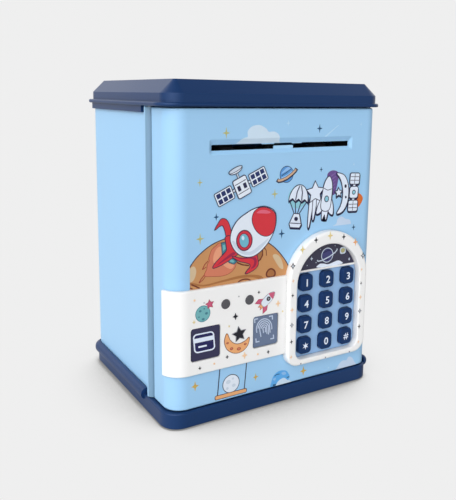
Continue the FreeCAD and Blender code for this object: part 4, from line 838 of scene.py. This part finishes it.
def legends():
    for sign in "0123456789":
        legend("key_" + sign, sign, 6.3, 0.1)
    drawn_legend("key_star", [star(0.1, -0.1, 2.4, 1.0, 0.38, 6)])
    drawn_legend("key_hash", [stroke(line, 0.55) for line in (
        [(-1.1, -2.1), (-0.4, 2.1)], [(-1.9, 0.7), (1.9, 0.7)], [(0.4, -2.1), (1.1, 2.1)],
        [(-2.1, -0.7), (1.7, -0.7)])])


# ---- setting --------------------------------------------------------------------------------
PAPER = 0.863                                # how bright the plain backdrop looks
LIGHTS = (((-0.75, -0.64, 0.22), 3.6, 3.0),  # large soft lights: direction, power and narrowness
          ((-0.30, 0.84, 0.45), 1.1, 5.0), ((0.90, 0.35, 0.05),
          1.2, 3.0))
ROOM = 0.09                                  # light from everywhere else above the floor


FLOOR = 0.47                                 # light that the floor sends back, straight up
FLOOR_SLOPE = (-0.20, 0.10)                  # how it changes towards +X and +Y
STRIP_AIM = (0.53, -0.85)                    # a bright strip in front of the object: direction,
STRIP_NARROW, STRIP_POWER = 20.0, 0.9        # narrowness and power


def floor_light(n, x, y):
    """Light that the floor sends back: more from the left and the rear, and from the bright strip."""
    even = n.math("ADD", n.math("MULTIPLY_ADD", x, FLOOR_SLOPE[0], FLOOR),
                  n.math("MULTIPLY", y, FLOOR_SLOPE[1]))
    facing = n.math("MULTIPLY_ADD", x, STRIP_AIM[0], n.math("MULTIPLY", y, STRIP_AIM[1]))
    strip = n.math("POWER", n.math("MAXIMUM", facing, 0.0), STRIP_NARROW)
    return n.math("MULTIPLY_ADD", strip, STRIP_POWER, even)


def studio():
    world = bpy.data.worlds.new("studio")
    bpy.context.scene.world = world
    world.use_nodes = True
    n = Nodes(world.node_tree)
    way = n("TexCoord", out="Generated")
    split = n("SeparateXYZ", Vector=way).node
    upper = ROOM
    for aim, power, narrow in LIGHTS:
        facing = n("VectorMath", out="Value", settings={"operation": "DOT_PRODUCT"}, i0=way,
                   i1=Vector(aim).normalized())
        upper = n.math("MULTIPLY_ADD", n.math("POWER", n.math("MAXIMUM", facing, 0.0), narrow), power, upper)
    lower = floor_light(n, split.outputs["X"], split.outputs["Y"])
    high = n.span(split.outputs["Z"], -0.05, 0.05, 0.0, 1.0)
    light = n.math("ADD", n.math("MULTIPLY", upper, high),
                   n.math("MULTIPLY", lower, n.math("SUBTRACT", 1.0, high)))
    seen = n("LightPath", out="Is Camera Ray")
    strength = n.math("ADD", n.math("MULTIPLY", light, n.math("SUBTRACT", 1.0, seen)),
                      n.math("MULTIPLY", seen, PAPER))
    background = world.node_tree.nodes["Background"]
    background.inputs["Color"].default_value = (1, 1, 1, 1)
    n.put(background.inputs["Strength"], strength)
    bpy.context.scene.view_settings.view_transform = "Standard"


FLOOR_REACH = 4.0                            # metres from the middle to each edge
SHADOW_REACH = 0.075                         # metres over which the painted shadow darkens the floor
SHADOW_POWER, SHADOW_GAIN, SHADOW_MOST = 4.0, 7.0, 0.7


def floor():
    """Plain pale floor with a soft painted shadow where the object stands, and can be looked through from
    below.
    """
    reach = FLOOR_REACH
    mesh = bpy.data.meshes.new("floor")
    mesh.from_pydata([(-reach, -reach, 0), (reach, -reach, 0), (reach, reach, 0), (-reach, reach, 0)], [],
                     [(0, 1, 2, 3)])
    sheet = bpy.data.objects.new("floor", mesh)
    bpy.context.scene.collection.objects.link(sheet)
    paper = bpy.data.materials.new("floor_paper")
    paper.use_nodes = True
    paper.node_tree.nodes.clear()
    n = Nodes(paper.node_tree)
    # painted shadow: the floor's glow is dimmed where the object hides the floor from its surroundings
    open_share = n("AmbientOcclusion", out="AO", settings={"samples": 16}, Distance=SHADOW_REACH)
    hidden = n.math("SUBTRACT", 1.0, open_share)
    dark = n.math("MULTIPLY", n.math("POWER", hidden, SHADOW_POWER), SHADOW_GAIN)
    shade = n.math("SUBTRACT", 1.0, n.math("MINIMUM", dark, SHADOW_MOST))
    toward = n("SeparateXYZ", Vector=n("NewGeometry", out="Incoming")).node
    other = floor_light(n, n.math("MULTIPLY", toward.outputs["X"], -1.0),
                        n.math("MULTIPLY", toward.outputs["Y"], -1.0))
    seen = n("LightPath", out="Is Camera Ray")
    light = n.math("ADD", n.math("MULTIPLY", other, n.math("SUBTRACT", 1.0, seen)),
                   n.math("MULTIPLY", seen, PAPER))
    glow = n("Emission", Strength=n.math("MULTIPLY", light, shade))
    one_sided = n("MixShader", i0=n("NewGeometry", out="Backfacing"), i1=glow, i2=n("BsdfTransparent"))
    output = paper.node_tree.nodes.new("ShaderNodeOutputMaterial")
    n.put(output.inputs["Surface"], one_sided)
    mesh.materials.append(paper)


VIEW_YAW, VIEW_PITCH, VIEW_ROLL = math.radians(32.108), math.radians(-9.297), math.radians(0.882)
EYE = (-205.493, -298.929, 182.392)          # millimetres, y from the door's face
SENSOR, LENS = 36.0, 46.287                  # millimetres
LENS_SHIFT = (-0.05474, -0.09964)            # share of the picture's longer side


def camera():
    forward = Vector((math.sin(VIEW_YAW) * math.cos(VIEW_PITCH), math.cos(VIEW_YAW) * math.cos(VIEW_PITCH),
                      math.sin(VIEW_PITCH)))
    level = Vector((math.cos(VIEW_YAW), -math.sin(VIEW_YAW), 0))
    up = level.cross(forward)
    c, s = math.cos(VIEW_ROLL), math.sin(VIEW_ROLL)
    side, top = level * c + up * s, up * c - level * s
    data = bpy.data.cameras.new("camera")
    data.sensor_fit = "AUTO"
    data.sensor_width, data.lens = SENSOR, LENS
    data.shift_x, data.shift_y = LENS_SHIFT
    data.clip_start, data.clip_end = 0.01, 20.0
    eye = bpy.data.objects.new("camera", data)
    bpy.context.scene.collection.objects.link(eye)
    place = Matrix((side, top, -forward)).transposed().to_4x4()
    place.translation = Vector((EYE[0], EYE[1] + DOOR_Y, EYE[2])) * MM
    eye.matrix_world = place
    bpy.context.scene.camera = eye


for draw in (moon, rocket, satellite, saturn, icon_row, clouds, slot_tabs, below_band, front_stars, band_art,
             card_icon,
             fingerprint_icon, bezel_stars, header_art, legends, studio, floor, camera):
    draw()
